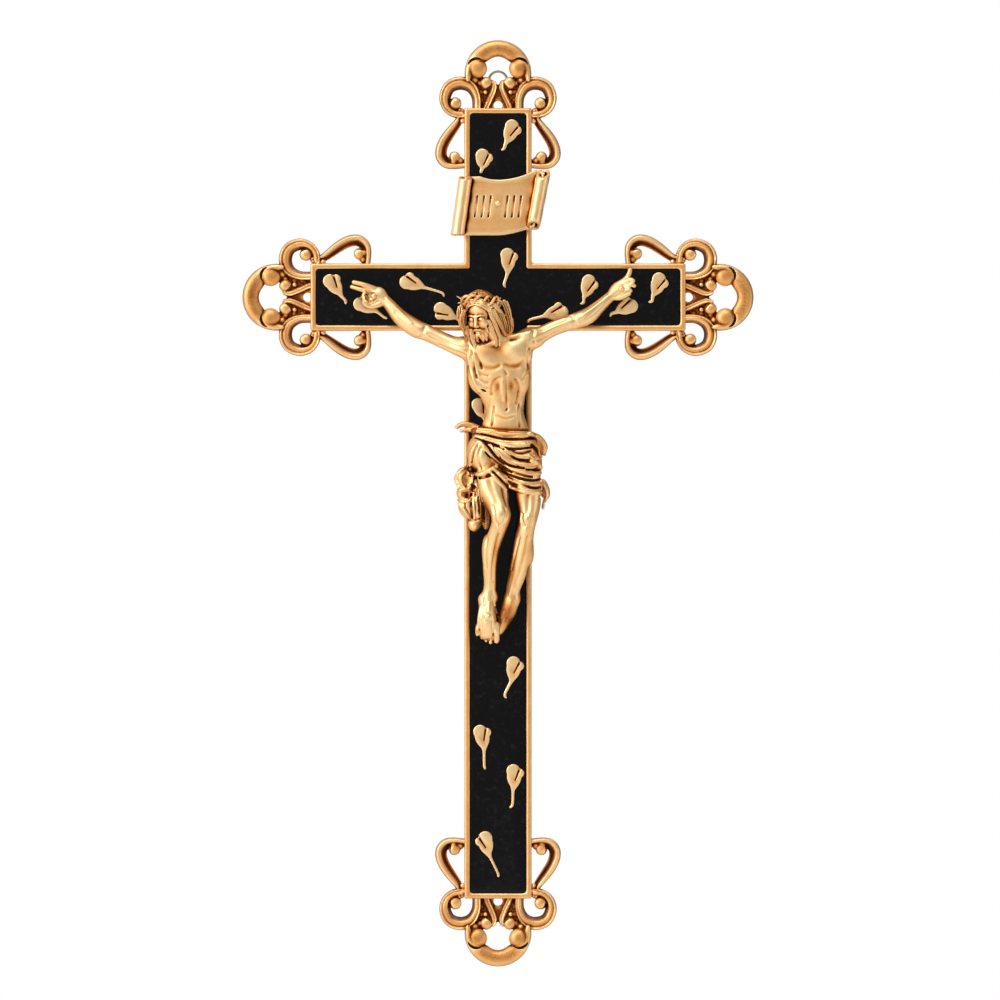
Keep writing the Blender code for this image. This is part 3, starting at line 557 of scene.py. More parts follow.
web = np.full(np.broadcast(x, y).shape, -99.0)
for (ax, ay), (bx, by) in zip(WEB, WEB[1:] + WEB[:1]):
    length = math.hypot(bx - ax, by - ay)
    web = np.maximum(web, ((by - ay) * (x - ax) - (bx - ax) * (y - ay)) / length)
scroll.blend(spans, np.maximum(web[:, :, None], z - WEB_TOP), 1.0)
web = np.maximum(np.maximum(x - 8, HOLE_RADIUS - np.hypot(x, y - HOLE_OUT)), np.maximum(y - 24, -3 - y))
scroll.blend(spans, np.maximum(web[:, :, None], z - HOLE_WEB_TOP), 0.5)

# Beads that end the bands: across, out, radius, top, and the arc of the cut that parts each
# one from its band, in degrees
BEADS = ((21, 40, 10, 19.4, 18, 118), (42.8, 4.6, 6.3, 17.4, -35, 75), (43.5, -49.2, 5.9, 16.2, -70, 45),
         (11.5, 25.2, 6.1, 15.8, 180, 275))
BEAD_RISE = 0.42
# The cut round a bead: its two depths below the bead's top, and its radius from end to end
CUT_DEPTHS = (0.6, 2.4)
CUT_RADII = (0.6, 1.1, 1.4, 1.5, 1.4, 1.1, 0.6)
# Small knobs where bands meet each other and the bar: across, out, radius and height
KNOBS = ((35.5, -8.5, 3.2, 12), (36.5, -3, 3.0, 12), (35.6, -12.5, 3.0, 12.4), (28.5, 32, 4.2, 12),
         (44, -54, 4.6, 10.6), (38.5, -53, 4.4, 10.2), (23.5, 28.5, 4.4, 11), (18, 25, 3.6, 10),
         (12.5, 16, 3.0, 10), (17, 8, 3.4, 9.5), (13.5, 4, 2.6, 9.5), (17, 16, 3.0, 9.5), (18.5, 0, 2.6, 10))
for side in (1, -1):
    for bx, by, radius, top, start, stop in BEADS:
        low = (side * bx - radius - 2, by - radius - 2, BACK - 3)
        spans, x, y, z = scroll.window(low, (side * bx + radius + 2, by + radius + 2, top + 2))
        away = np.hypot(x - side * bx, y - by)
        dome = top + 0.3 - radius * BEAD_RISE * (away / radius) ** 3
        scroll.blend(spans, np.maximum(away - radius, z - dome), 0.5)
        reach = radius - 0.5
        round_bead = np.radians(np.linspace(start, stop, len(CUT_RADII)))
        for depth in CUT_DEPTHS:
            arc = [(side * (bx + reach * math.cos(a)), by + reach * math.sin(a), top - depth, r)
                   for a, r in zip(round_bead, CUT_RADII)]
            scroll.rope(arc, 0.3, carve=True, spans=2)
    for kx, ky, radius, out in KNOBS:
        scroll.mass((side * kx, ky, out), (radius, radius, radius * 1.2), 0.8)
spans, x, y, z = scroll.window((-64, -65, 1), (64, 72, 21))
scroll.field[spans] = np.maximum(scroll.field, BACK - z)
scroll_points, scroll_faces, scroll_tone_and_shade = cast(scroll, SCROLL_LIMIT, 2)
# Toning pools low down in the scrolls and is rubbed thinner on the webs, and the sides get a little painted
# shade as they turn from the front
SCROLL_TONE, SCROLL_TONE_MOST, WEB_TONE_MOST = 0.605, 0.69, 0.635
POOL_TOP = 16.5
scroll_tone_and_shade = scroll_tone_and_shade + 0.05 * (1 - facing_out(scroll_points, scroll_faces)) ** 2
in_web = (np.abs(scroll_points[:, 0]) < 26) & (scroll_points[:, 1] < 32) & (scroll_points[:, 2] < 15)
scroll_tone_and_shade = np.minimum(
    SCROLL_TONE + 1.1 * (scroll_tone_and_shade - 0.5) + 0.08 * np.clip((POOL_TOP - scroll_points[:, 2]) / 6, 0, 1),
    np.where(in_web, WEB_TONE_MOST, SCROLL_TONE_MOST))

ARM_ENDS = ((0, shaft_top, 0), (-beam_half, crossing, 90), (0, shaft_bottom, 180), (beam_half, crossing, 270))
ends = [(placed(scroll_points, x, y, turn), scroll_faces, scroll_tone_and_shade) for x, y, turn in ARM_ENDS]

cross = add_piece("gilt_cross", [body, *leaves, *ends], gilt, crease=55)
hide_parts("cross_casting")

# Enamel: black glass powder laid in the cross round the leaves, fired and stoned nearly flush.
# It shrank a little from the rim, and its face keeps slow swells from the firing.
# In from the rim's inner edge and out from the wall
ENAMEL_SECTION = ((-0.02, 3.95), (-0.02, 5.02), (0.12, 5.09), (0.34, 5.13), (0.8, 5.15))
enamel_rings = [cross_outline(RIM_WIDTH + inset * MM, 1.0 * MM, 0.5 * MM, out * MM)
                for inset, out in ENAMEL_SECTION]

# Fired black enamel, glassy with slow ripples: it mirrors the room in soft broken shapes, with
# a faint dusty haze in patches. Its index is set below glass's, as the stoned face mirrors less.
ENAMEL_BLACK = "#0B0A0C"
ENAMEL_HAZE = "#242026"
ENAMEL_INDEX = 1.25
RIPPLE = 9 * MM
DUST = 1.6 * MM

enamel, tree, shader = new_material("black_enamel_fired")
spot = add_node(tree, "ShaderNodeTexCoord").outputs["Object"]
swell = add_node(tree, "ShaderNodeTexNoise", {"Vector": spot, "Scale": 1 / RIPPLE, "Detail": 2.0})
dust = add_node(tree, "ShaderNodeTexNoise", {
    "Vector": spot, "Scale": 1 / DUST, "Detail": 5.0, "Roughness": 0.7})
haze = add_node(tree, "ShaderNodeMapRange", {"Value": dust.outputs["Fac"], "From Min": 0.55, "From Max": 0.8})
tint = add_node(tree, "ShaderNodeMix", {
    0: haze.outputs[0], 6: linear(ENAMEL_BLACK), 7: linear(ENAMEL_HAZE)}, data_type="RGBA")
gloss = add_node(tree, "ShaderNodeMapRange", {
    "Value": dust.outputs["Fac"], "From Min": 0.3, "From Max": 0.8, "To Min": 0.05, "To Max": 0.22})
waves = add_node(tree, "ShaderNodeBump", {
    "Height": swell.outputs["Fac"], "Strength": 0.35, "Distance": 0.25 * MM})
tree.links.new(tint.outputs[2], shader.inputs["Base Color"])
tree.links.new(gloss.outputs[0], shader.inputs["Roughness"])
tree.links.new(waves.outputs[0], shader.inputs["Normal"])
shader.inputs["IOR"].default_value = ENAMEL_INDEX

glass = add_piece("enamel_fill", [stacked(enamel_rings, [0.5] * len(enamel_rings))], enamel, crease=40)
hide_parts("enamel_field")

# Figure: one brass casting worked up from a modelled form and gilded like the cross, pinned
# at the hands and feet. Points are right, up and out in steps, from the crossing and the plane
# that its back lies in; the loincloth, hair, crown and nail heads are cast with it.
FIGURE_BACK = 5.9 * MM
FIGURE_CELL = 0.66
FIGURE_LIMIT = 116000
figure_low, figure_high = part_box("corpus")
floor_of_grid = ((figure_low.x / STEP) - 5, (figure_low.z - crossing) / STEP - 5, -1.5)
top_of_grid = ((figure_high.x / STEP) + 5, (figure_high.z - crossing) / STEP + 5,
               (-figure_low.y - FIGURE_BACK) / STEP + 4)
figure = Clay(floor_of_grid, top_of_grid, FIGURE_CELL)

# Trunk: up, right and out of each section's middle, then its half width and half depth
TRUNK = (
    (-34, 6, 17, 7, 5), (-38, 5, 17, 13, 7), (-47, 3, 16, 25, 10), (-60, 0, 15.5, 33, 12.5),
    (-73, 1, 15.5, 29.5, 13.5), (-88, 3, 15, 26, 13.5), (-103, 5, 14, 21.5, 12), (-115, 6.5, 13.5, 19, 11.5),
    (-128, 6.5, 14, 22.5, 12), (-141, 6, 14.5, 26.5, 13.5), (-158, 6, 15, 28, 14),
)
spans, x, y, z = figure.window((-45, -166, -1.5), (50, -30, 45))
slices = np.array(smooth(TRUNK, 5))[::-1]
across, out, half_x, half_z = (
    np.interp(y[0, :, 0], slices[:, 0], slices[:, i])[None, :, None] for i in (1, 2, 3, 4))
size = (np.abs((x - across) / half_x) ** 2.3 + np.abs((z - out) / half_z) ** 2.3) ** (1 / 2.3)
ends = np.maximum(y - slices[-1, 0], slices[0, 0] - y)
figure.blend(spans, np.maximum((size - 1) * np.minimum(half_x, half_z), ends), 1.0)

# Limbs: each from its far end to the trunk, with the radius last
LEFT_ARM = ((-124, 2, 5, 6.2), (-113, -3, 6, 5.3), (-98, -20, 8, 7.8), (-83, -31, 10, 9.0),
            (-72, -35.5, 11, 8.3), (-58, -42, 12, 8.0), (-43, -48.5, 14, 8.6), (-29, -52, 16, 10.3),
            (-14, -56, 17, 12))
RIGHT_ARM = ((122, 7, 5, 6.2), (113, 1, 6, 5.3), (102, -9, 8, 6.3), (90, -19, 10, 8.2), (74, -25, 11, 7.8),
             (57, -31, 12, 7.5), (42, -38, 14, 8.4), (31, -42, 16, 10.3), (16, -52, 17, 12))
FRONT_LEG = ((-10, -150, 15, 15), (-8, -172, 20, 13), (-4, -198, 27, 11), (2, -214, 32, 10.2),
             (3, -220, 33, 9.6), (1, -229, 30, 8.2), (-4, -243, 25, 8.0), (-7, -256, 21, 8.0),
             (-8, -273, 17, 6.9), (-8, -288, 14, 6.1), (-10, -303, 13, 6.8))
BACK_LEG = ((22, -150, 14, 16), (28, -176, 18, 14), (31, -200, 23, 11), (31, -216, 26, 9.4),
            (28, -231, 26, 8.8), (25, -248, 21, 9.4), (22, -263, 17, 9.8), (19, -278, 13, 8.6),
            (15, -293, 10, 6.8), (13, -306, 9, 7))
FRONT_FOOT = ((-10, -303, 13, 7.4), (-11, -314, 15.5, 8.6), (-11, -325, 16, 9.6), (-11, -335, 13.5, 8.4))
BACK_FOOT = ((13, -303, 9, 7.6), (10, -314, 8, 8.2), (4, -326, 6, 7), (1, -333, 6, 5))
for limb, soft in ((LEFT_ARM, 5), (RIGHT_ARM, 5), (FRONT_LEG, 4), (BACK_LEG, 4), (BACK_FOOT, 2),
                   (FRONT_FOOT, 2)):
    figure.rope(limb, soft)
# The neck
figure.rope(((6, -46, 16, 10), (-2, -38, 21, 9), (-10, -30, 25, 9)), 5)

# Muscles and bones that lie on the trunk and the limbs: middle, half sizes and turn
MASSES = (
    (-14, -60, 22.5, 15, 10, 4.9, 10), (19, -57, 22.5, 14, 10, 4.9, -6), (-19, -83, 19, 10, 13, 7, 14),
    (23, -82, 19, 8, 12, 7, -8), (0, -93, 21, 6.5, 17, 5.5, 0), (13, -93, 21, 6.5, 17, 5.5, 0),
    (7, -118, 20.5, 14, 13, 5.6, 0),
    (-33, -48, 17, 12, 7.5, 7.6, 24), (33, -42, 17, 12, 7, 7.6, -24),
    (-13, -190, 27, 6, 22, 6, 8), (3, -185, 27, 5.5, 20, 6, 14), (2, -218, 38, 6, 6.5, 4.5, 10),
    (24, -192, 27, 6, 22, 6, 2), (36, -195, 24, 5, 20, 5, 2), (29, -222, 31, 5.5, 6, 4.5, 0),
    (-9, -252, 20, 5.6, 14, 6, 8), (30, -254, 18, 5, 13, 6, 6), (-16, -302, 13, 3, 4, 4, 0),
    (-4, -300, 12, 3, 4, 4, 0), (18, -301, 8, 3, 4, 4, 0),
)
for px, py, pz, hx, hy, hz, turn in MASSES:
    figure.mass((px, py, pz), (hx, hy, hz), 6, turn)

# Drawn on the skin: rise or depth, softness, then points of right, up and radius
FORMS = (
    # collar bones and the edges of the breast muscles
    (0.3, 3, ((8, -42, 1.8), (20, -39, 2.0), (32, -36, 1.6))), (0.3, 3, ((-2, -46, 1.5), (-14, -49, 1.6))),
    (-0.25, 3, ((-17, -68, 1.6), (-12, -71, 2.4), (-5, -71.5, 2.4), (1, -69, 1.6))),
    (-0.25, 3, ((8, -68, 1.6), (13, -69.5, 2.4), (20, -69, 2.4), (26, -65, 1.6))),
    # pit of the stomach, the arch of the ribs and the dark line at its right
    (-0.6, 1.6, ((7, -74, 1.2), (8.6, -77.5, 1.5))),
    (-0.6, 1.6, ((17.5, -82, 1.2), (20, -86, 1.5), (21.5, -92, 1.7), (20.5, -99, 1.6), (18.5, -106, 1.2))),
    (-0.3, 2, ((-7, -98, 1.6), (-6.5, -90, 1.8), (-3.5, -83, 1.6), (2, -80, 1.2))),
    (0.3, 2, ((5, -84, 1.6), (5, -93, 1.6), (5.5, -103, 1.4))),
    (-0.25, 1.2, ((8.2, -84, 0.9), (8.4, -93, 1.0), (8.6, -104, 0.9), (8.8, -109, 0.8))),
    # ribs at both sides
    (-0.45, 1.8, ((-22, -73, 0.9), (-16, -77.5, 1.3), (-10, -79, 0.9))),
    (-0.45, 1.8, ((-21, -79, 0.9), (-15, -84, 1.3), (-10, -86, 0.9))),
    (-0.4, 1.8, ((-20, -85, 0.9), (-14.5, -90, 1.2), (-10.5, -92, 0.8))),
    (-0.4, 1.8, ((31, -72, 0.9), (27, -78, 1.1), (25, -81, 0.8))),
    (-0.4, 1.8, ((29, -80, 0.9), (27, -86, 1.1))),
    # wound in the side
    (-2.4, 0.5, ((-17.5, -91.4, 0.7), (-14, -93.4, 1.3), (-10.5, -95.4, 0.6))),
    # bands of muscle below the left armpit, and the edge of the right one
    (0.9, 1.6, ((-30, -58, 1.3), (-27.5, -70, 1.5), (-24, -84, 1.2), (-19, -95, 1.0))),
    (0.8, 1.6, ((-25, -60, 1.3), (-22, -70, 1.7), (-19, -80, 1.4))),
    (-1.3, 1.2, ((-27, -54, 1.0), (-25, -64, 1.2), (-23.5, -74, 1.1), (-21, -82, 0.8))),
    (-0.9, 1.4, ((-22, -57, 0.9), (-18, -66, 1.0), (-16, -72, 0.8))),
    (-0.7, 1.8, ((32, -52, 1.2), (30.5, -60, 1.3), (31, -70, 1.2))),
    # shoulders: between the trunk and the arm, and round the shoulder muscle
    (-0.7, 2.4, ((-31, -44, 1.3), (-29, -50, 1.6), (-31, -57, 1.3))),
    (-0.5, 2.4, ((36, -34, 1.2), (35, -41, 1.4), (36, -47, 1.2))),
    (-0.6, 2, ((13, -43, 1.0), (18, -41.5, 1.4), (23, -38, 1.0))),
    # arms: two soft lines low on each upper arm, and one down each forearm
    (-0.8, 1.8, ((-31, -53, 1.0), (-42, -49.5, 1.3), (-56, -44, 1.3), (-68, -39, 1.0))),
    (-0.6, 1.8, ((-33, -58, 0.9), (-46, -54, 1.1), (-58, -48.5, 0.9))),
    (-0.5, 2.4, ((-72, -30, 1.2), (-75, -35, 1.5), (-76, -40, 1.2))),
    (-0.5, 1.8, ((-80, -36, 0.9), (-91, -28, 1.2), (-103, -16, 0.9))),
    (0.4, 1.4, ((-86, -27, 0.8), (-98, -15, 0.9), (-111, -2, 0.8))),
    (-0.8, 1.8, ((36, -45, 1.0), (47, -40, 1.3), (58, -34, 1.3), (70, -30, 1.0))),
    (-0.5, 1.8, ((44, -33, 1.0), (55, -27, 1.2), (66, -23, 1.0))),
    (-0.5, 2.4, ((74, -19, 1.2), (77, -24, 1.5), (77, -30, 1.2))),
    (-0.5, 1.8, ((82, -25, 0.9), (93, -17, 1.2), (104, -7, 0.9))),
    (0.4, 1.4, ((86, -17, 0.8), (98, -9, 0.9), (110, 1, 0.8))),
    # navel, waist and groin
    (-1.1, 1.4, ((9, -112, 1.2), (8.6, -113.5, 1.2))),
    (-0.4, 2.4, ((-1, -119, 1.4), (8, -121.5, 1.6), (17, -119, 1.4))),
    (-0.9, 1.2, ((-4.5, -110, 0.9), (-5, -117, 1.2), (-6.5, -128, 1.0))),
    (-0.4, 1.8, ((22, -108, 1.2), (21, -117, 1.4), (22, -129, 1.2))),
    # leg in front: thigh muscles, knee, shin and calf
    (-0.5, 3, ((-10, -178, 1.4), (-6, -192, 1.8), (-1, -206, 1.2))),
    (-0.5, 3, ((3, -184, 1.2), (6, -196, 1.6), (9, -208, 1.0))),
    (-0.8, 2, ((-5, -209, 1.0), (-4, -216, 1.4), (-3, -224, 1.2), (1, -228, 1.0))),
    (-0.8, 2, ((7, -210, 1.0), (8.5, -217, 1.3), (6, -225, 1.0))),
    (0.7, 2, ((0, -229, 1.4), (-4, -242, 1.5), (-7.5, -258, 1.4), (-9, -275, 1.2), (-9, -290, 1.0))),
    (-1.0, 1.8, ((1, -238, 1.2), (-2, -252, 1.5), (-4.5, -268, 1.2), (-5, -284, 0.9))),
    (-0.5, 2, ((-11, -242, 1.0), (-13, -256, 1.2), (-12.5, -270, 0.9))),
    # leg behind
    (-0.6, 3, ((30, -198, 1.2), (30, -208, 1.4), (29, -216, 1.0))),
    (-0.9, 2, ((24, -217, 1.0), (23.5, -223, 1.3), (26, -229, 1.0))),
    (-0.8, 2, ((33, -217, 1.0), (34, -223, 1.2), (32, -229, 1.0))),
    (0.7, 2, ((28, -232, 1.3), (25, -248, 1.5), (20, -268, 1.4), (15, -286, 1.2), (12, -298, 1.0))),
    (-1.0, 1.8, ((30, -240, 1.2), (27, -256, 1.5), (23, -272, 1.2), (18, -288, 1.0))),
    (-0.6, 2, ((21, -240, 1.0), (17, -256, 1.2), (13.5, -272, 1.0))),
    # ankles, the bones of the feet
    (-0.8, 1.2, ((-13, -300, 0.9), (-14, -307, 1.1))), (-0.8, 1.2, ((-5, -300, 0.9), (-4, -307, 1.1))),
    (0.8, 1.2, ((-17, -309, 1.1), (-19.5, -322, 1.2), (-19.5, -334, 1.0))),
    (0.8, 1.2, ((-9, -306, 1.2), (-9, -314, 1.2))),
    (0.9, 1.2, ((-3, -308, 1.1), (0, -320, 1.3), (1, -332, 1.2))),
    (-0.9, 1.0, ((-15, -318, 0.9), (-16.5, -330, 0.9))), (-0.9, 1.0, ((-6, -324, 0.9), (-5.5, -334, 0.9))),
    (0.7, 1.2, ((13, -304, 1.0), (9, -316, 1.1), (3, -328, 1.0))),
)
# Hollows of the belly inside the arch, at either side of the middle line
for px, py, hx, hy in ((-1.6, -93, 6.6, 13), (14.6, -92, 6.6, 13)):
    figure.mass((px, py, figure.skin(px, py) + 2.7), (hx, hy, 3.5), 1.0, carve=True)
for rise, soft, points in FORMS:
    figure.line(points, rise, soft)

# Toes: right, up and radius of each tip, then the joint that it springs from
TOES = ((-20.5, -336, 2.3, -19.5), (-16, -339, 2.4, -15), (-11.8, -342, 2.4, -11), (-7.4, -344, 2.5, -6.8),
        (-1.6, -342.5, 3.5, -1.4))
for tx, ty, radius, joint in TOES:
    figure.rope(((joint, -328, 17, radius), (tx, (ty - 328) / 2, 17.5, radius * 0.92), (tx, ty, 13, radius)),
                0.8)
    figure.mass((tx, ty - 1.2, 14.4), (radius * 0.7, radius * 0.8, radius * 0.7), 0.5)
for gx, gy in ((-18.2, -337), (-13.9, -339), (-9.6, -341), (-5.2, -341)):
    figure.rope(((gx, -329, 20, 0.5), (gx, gy, 17, 0.9), (gx, gy - 4, 12, 1.0)), 0.4, carve=True)

# Hands: palm, fingers and thumb, each a short strand, and the hollow round the left nail
FINGERS = (
    ((-124, 8, 7, 3.2), (-134, 12, 9, 2.5), (-144, 14.5, 9, 2.2)),
    ((-126, 4, 7, 3.0), (-136, 7, 9, 2.3), (-146, 10, 8, 2.0)),
    ((-120, -1, 7, 4.2), (-128, -4, 9, 3.4), (-134, -1, 11, 2.6), (-133, 4, 12, 2.2)),
    ((-118, -7, 7, 3.4), (-127, -9.5, 8, 2.9), (-134, -6, 10, 2.5), (-132, -1, 13, 2.2)),
    ((-128, -2, 10, 2.4), (-131, -4.5, 13, 2.3), (-130, -3, 14, 1.8)),
    ((119, 11, 6, 4), (127, 17, 8, 2.8), (131, 23, 8, 2.4), (132, 27, 8, 2.2)),
    ((124, 12, 8, 2.8), (131, 17, 11, 2.4), (135, 16, 12, 2.2)),
    ((125, 8, 8, 2.8), (132, 12, 12, 2.4), (136, 11, 12, 2.2)),
    ((123, 4, 8, 2.8), (130, 7.5, 12, 2.3), (132.5, 6, 11, 2.0)),
    ((114, 0, 7, 3.2), (122, -1, 9, 2.6), (131, 3, 10, 2.1)),
)
figure.mass((-119, 3, 6), (8, 7, 4.5), 3, -30)
figure.mass((119, 7, 6), (8, 7, 4.5), 3, 35)
for finger in FINGERS:
    figure.rope(finger, 0.9)
figure.mass((-127, 0, 13), (6, 5.5, 6.5), 1.2, carve=True)

# Loincloth: the wrapped body of the cloth, then its hanging parts, as middle, half sizes and
# turn. Its folds and creases are drawn on it as on the skin.
CLOTH = (
    (-12, -156, 18, 19, 21, 13, 12), (22, -168, 19, 22, 29, 15, -6), (8, -158, 19.5, 27, 17, 15, -12),
    (31, -190, 19, 13.5, 9, 12, -4), (-17, -158, 21, 12, 18, 13, 20), (37, -150, 14, 9, 12, 9, 0),
    (-33, -183, 10, 9, 13, 8, 14), (-34, -196, 9, 7.5, 8, 7, 0), (-30, -210, 9, 9.5, 12, 7.5, 18),
    (-23.5, -227, 9, 6.5, 7.5, 6, 0),
    (-20, -205, 10, 5, 24, 6, 4), (-13, -214, 7, 5, 19, 5, 4), (46, -192, 9, 5.5, 11, 6, 16),
    (41, -151, 12, 7, 8, 5, -20),
)
for px, py, pz, hx, hy, hz, turn in CLOTH:
    figure.mass((px, py, pz), (hx, hy, hz), 2.2, turn)
CLOTH_FORMS = (
    # bow at the left hip
    (2.5, 1.0, ((-16, -133, 3.2), (-26, -128.5, 3.4), (-35, -127, 2.8), (-41, -130, 2.0))),
    (1.6, 0.8, ((-18, -137, 2.4), (-28, -133, 2.6), (-37, -134, 2.0))),
    # belt of rolled cloth
    (2.8, 1.0, ((-24, -134, 3.4), (-12, -135, 3.8), (4, -137.5, 4.0), (20, -138, 4.0), (34, -138, 3.4))),
    (1.6, 0.8, ((-24, -139, 2.4), (-10, -142.5, 2.8), (6, -146, 3.0), (22, -146.5, 3.0), (36, -145, 2.4))),
    (-1.5, 0.5, ((-22, -136.6, 0.8), (-8, -139.4, 1.0), (8, -142, 1.0), (24, -142.6, 1.0), (35, -141, 0.8))),
    (-2.6, 0.6, ((-23, -141, 1.0), (-13, -145, 1.4), (2, -150, 1.6), (14, -152.5, 1.6), (33, -151, 1.2))),
    (-1.0, 0.5, ((-6, -135.5, 0.6), (6, -139.5, 0.8), (18, -139, 0.7))),
    # folds that sweep from the left hip across to the right thigh
    (1.8, 1.0, ((-18, -146, 2.2), (-9, -156, 2.6), (2, -167, 2.6), (14, -173, 2.4), (30, -177, 2.2),
                (42, -176, 1.8))),
    (1.8, 1.0, ((-8, -148, 2.0), (2, -158, 2.4), (12, -165, 2.4), (26, -168, 2.2), (38, -167, 1.8))),
    (1.6, 1.0, ((3, -150, 2.0), (12, -157, 2.2), (24, -160, 2.2), (36, -158, 1.8))),
    (1.7, 1.0, ((-3, -174, 2.0), (10, -181, 2.4), (24, -186, 2.4), (36, -188, 2.2), (44, -186, 1.6))),
    (-1.9, 0.6, ((-14, -143, 0.9), (-11, -149, 1.2), (-2, -160, 1.4), (6, -167, 1.0))),
    (-1.9, 0.6, ((-6, -147, 0.9), (-1, -156, 1.2), (4, -163, 1.3), (13, -168.5, 1.2), (26, -171.5, 1.0))),
    (-2.0, 0.6, ((-13, -155, 0.9), (-3, -164, 1.3), (10, -173, 1.5), (22, -177.5, 1.4), (34, -180, 1.1))),
    (-1.9, 0.6, ((5, -152, 1.0), (14, -159.5, 1.3), (24, -163.5, 1.3), (36, -163, 1.0))),
    (-1.7, 0.6, ((14, -153.5, 1.0), (22, -156.5, 1.2), (33, -154, 1.0))),
    (-2.1, 0.6, ((5, -175, 0.9), (22, -181.5, 1.4), (36, -183.5, 1.3), (44, -181, 1.0))),
    (-2.0, 0.6, ((10, -180, 0.9), (27, -188.5, 1.4), (37, -191, 1.3), (43, -190, 1.0))),
    (-1.1, 0.5, ((18, -168, 0.6), (30, -173, 0.8), (40, -171, 0.7))),
    (-1.2, 0.5, ((20, -183.5, 0.6), (32, -186.5, 0.8), (41, -185.5, 0.7))),
    # flap over the left thigh and its hem
    (1.5, 1.0, ((-20, -145, 2.0), (-27, -158, 2.4), (-27, -172, 2.2))),
    (1.9, 0.8, ((-27, -175, 1.8), (-18, -177.5, 2.2), (-8, -173, 2.2), (-1, -169, 1.8))),
    (-1.0, 1.2, ((-17, -150, 1.2), (-20, -162, 1.6), (-17, -172, 1.2))),
    (-1.5, 0.4, ((-29, -178.5, 1.0), (-18, -181, 1.4), (-8, -178.5, 1.4), (-1, -174, 1.0))),
    # finer creases of the belt
    (-1.1, 0.4, ((-20, -132.2, 0.5), (-4, -133.6, 0.7), (12, -135, 0.7), (30, -135, 0.5))),
    (-1.1, 0.4, ((-12, -141.6, 0.5), (4, -145.4, 0.7), (20, -146, 0.7), (32, -145, 0.5))),
    (-1.2, 0.4, ((-20, -148, 0.5), (-24, -156, 0.8), (-26, -166, 0.6))),
    (-1.2, 0.4, ((20, -163, 0.5), (30, -165.6, 0.7), (39, -165, 0.5))),
    (-1.4, 0.4, ((-1, -168, 0.6), (5, -171.5, 0.9), (14, -176, 0.6))),
    # twisted bunch and the hem over the right thigh
    (1.8, 0.7, ((-5, -171, 1.8), (4, -180, 2.0), (13, -189, 1.8))),
    (1.6, 0.7, ((-8, -175, 1.6), (0, -184, 1.8), (8, -193, 1.5))),
    (-1.8, 0.5, ((-4, -175, 0.8), (4, -184, 1.0), (11, -192, 0.8))),
    (1.9, 0.8, ((12, -190, 1.8), (26, -195, 2.2), (43, -195.5, 2.0))),
    # knot, flap and tail at the right hip
    (2.2, 0.8, ((32, -137, 3.0), (41, -141, 3.0), (47, -149, 2.6), (46, -157, 2.0))),
    (-3.2, 0.7, ((34, -149, 2.2), (39, -153, 3.0), (41, -159, 2.0))),
    (1.6, 0.6, ((31, -158, 1.6), (36, -162, 1.8), (43, -160, 1.6))),
    (1.8, 0.7, ((33, -164, 2.2), (40, -167, 2.6), (43, -171, 1.8))),
    (-2.0, 0.5, ((30, -172, 0.8), (37, -173.5, 1.1), (44, -172, 0.8))),
    (1.6, 0.7, ((42, -183, 2.0), (48, -192, 2.4), (49, -199, 2.0), (46, -205, 2.0), (45, -211, 1.8))),
    (-1.6, 0.5, ((43, -190, 0.8), (44, -197, 1.1), (41, -203, 0.9))),
    # cloth that hangs at the left: a turned-back fold, a rolled end and a gathered foot
    (1.8, 0.7, ((-28, -168, 1.8), (-37, -174, 2.0), (-42, -181, 2.0), (-39, -190, 1.8))),
    (1.6, 0.7, ((-27, -172, 1.5), (-25.5, -182, 1.7), (-29, -191, 1.6))),
    (-2.2, 0.8, ((-31, -176, 1.6), (-33, -183, 3.0), (-31.5, -189, 1.8))),
    (2.0, 0.5, ((-38, -194, 1.4), (-34, -192, 1.6), (-28, -194, 1.6), (-26, -199, 1.5), (-29, -204, 1.5),
                (-35, -204.5, 1.5), (-39.5, -203, 1.3))),
    (-2.8, 0.4, ((-34, -197.5, 2.8), (-31, -198.5, 3.4))),
    (-2.4, 0.4, ((-26, -188, 1.4), (-22.5, -193, 2.4), (-23.5, -200, 1.4))),
    (1.4, 0.8, ((-39, -207, 1.6), (-33, -214, 2.0), (-28, -221, 1.6))),
    (1.6, 0.8, ((-24, -196, 1.6), (-24, -210, 2.0), (-23, -221, 1.6))),
    (-1.6, 0.6, ((-27, -206, 0.9), (-26.5, -214, 1.1), (-26, -222, 0.9))),
    (-1.8, 0.5, ((-30, -222.5, 0.8), (-24, -223.5, 1.0), (-18, -221.5, 0.8))),
    (-2.4, 0.4, ((-20.5, -190, 0.8), (-19.5, -205, 1.2), (-18, -226, 0.9))),
    (-2.4, 0.4, ((-15, -200, 0.8), (-14, -214, 1.2), (-12.5, -230, 0.9))),
    (-1.8, 0.4, ((-33, -206, 0.7), (-32, -212, 0.9), (-28, -219, 0.7))),
)
for rise, soft, points in CLOTH_FORMS:
    figure.line(points, rise, soft)
figure.mass((-31, -183, 17), (5, 7, 2.2), 0.8, 8, carve=True)

# Head: bowed and turned to the left, worked in finer clay than the body. Its face is a plain
# calm one, drawn up by the usual thirds on axes of its own: right, up and forward from the
# middle of the head.
HEAD_CELL = 0.42
HEAD_LIMIT = 80000
HEAD = np.array((-17.0, -19.0, 27.0))
HEAD_TURN = Euler((math.radians(17), math.radians(-24), math.radians(9)), "XYZ")
axes = np.array(Matrix.Rotation(HEAD_TURN.z, 3, "Z") @ Matrix.Rotation(HEAD_TURN.x, 3, "X")
                @ Matrix.Rotation(HEAD_TURN.y, 3, "Y"))
head_low, head_high = (-50, -66, 4), (26, 18, 58)
head = Clay(head_low, head_high, HEAD_CELL)


def head_mass(centre, halves, soft=1.5, carve=False):
    head.mass(HEAD + axes @ np.array(centre, float), halves, soft, axes=axes, carve=carve)


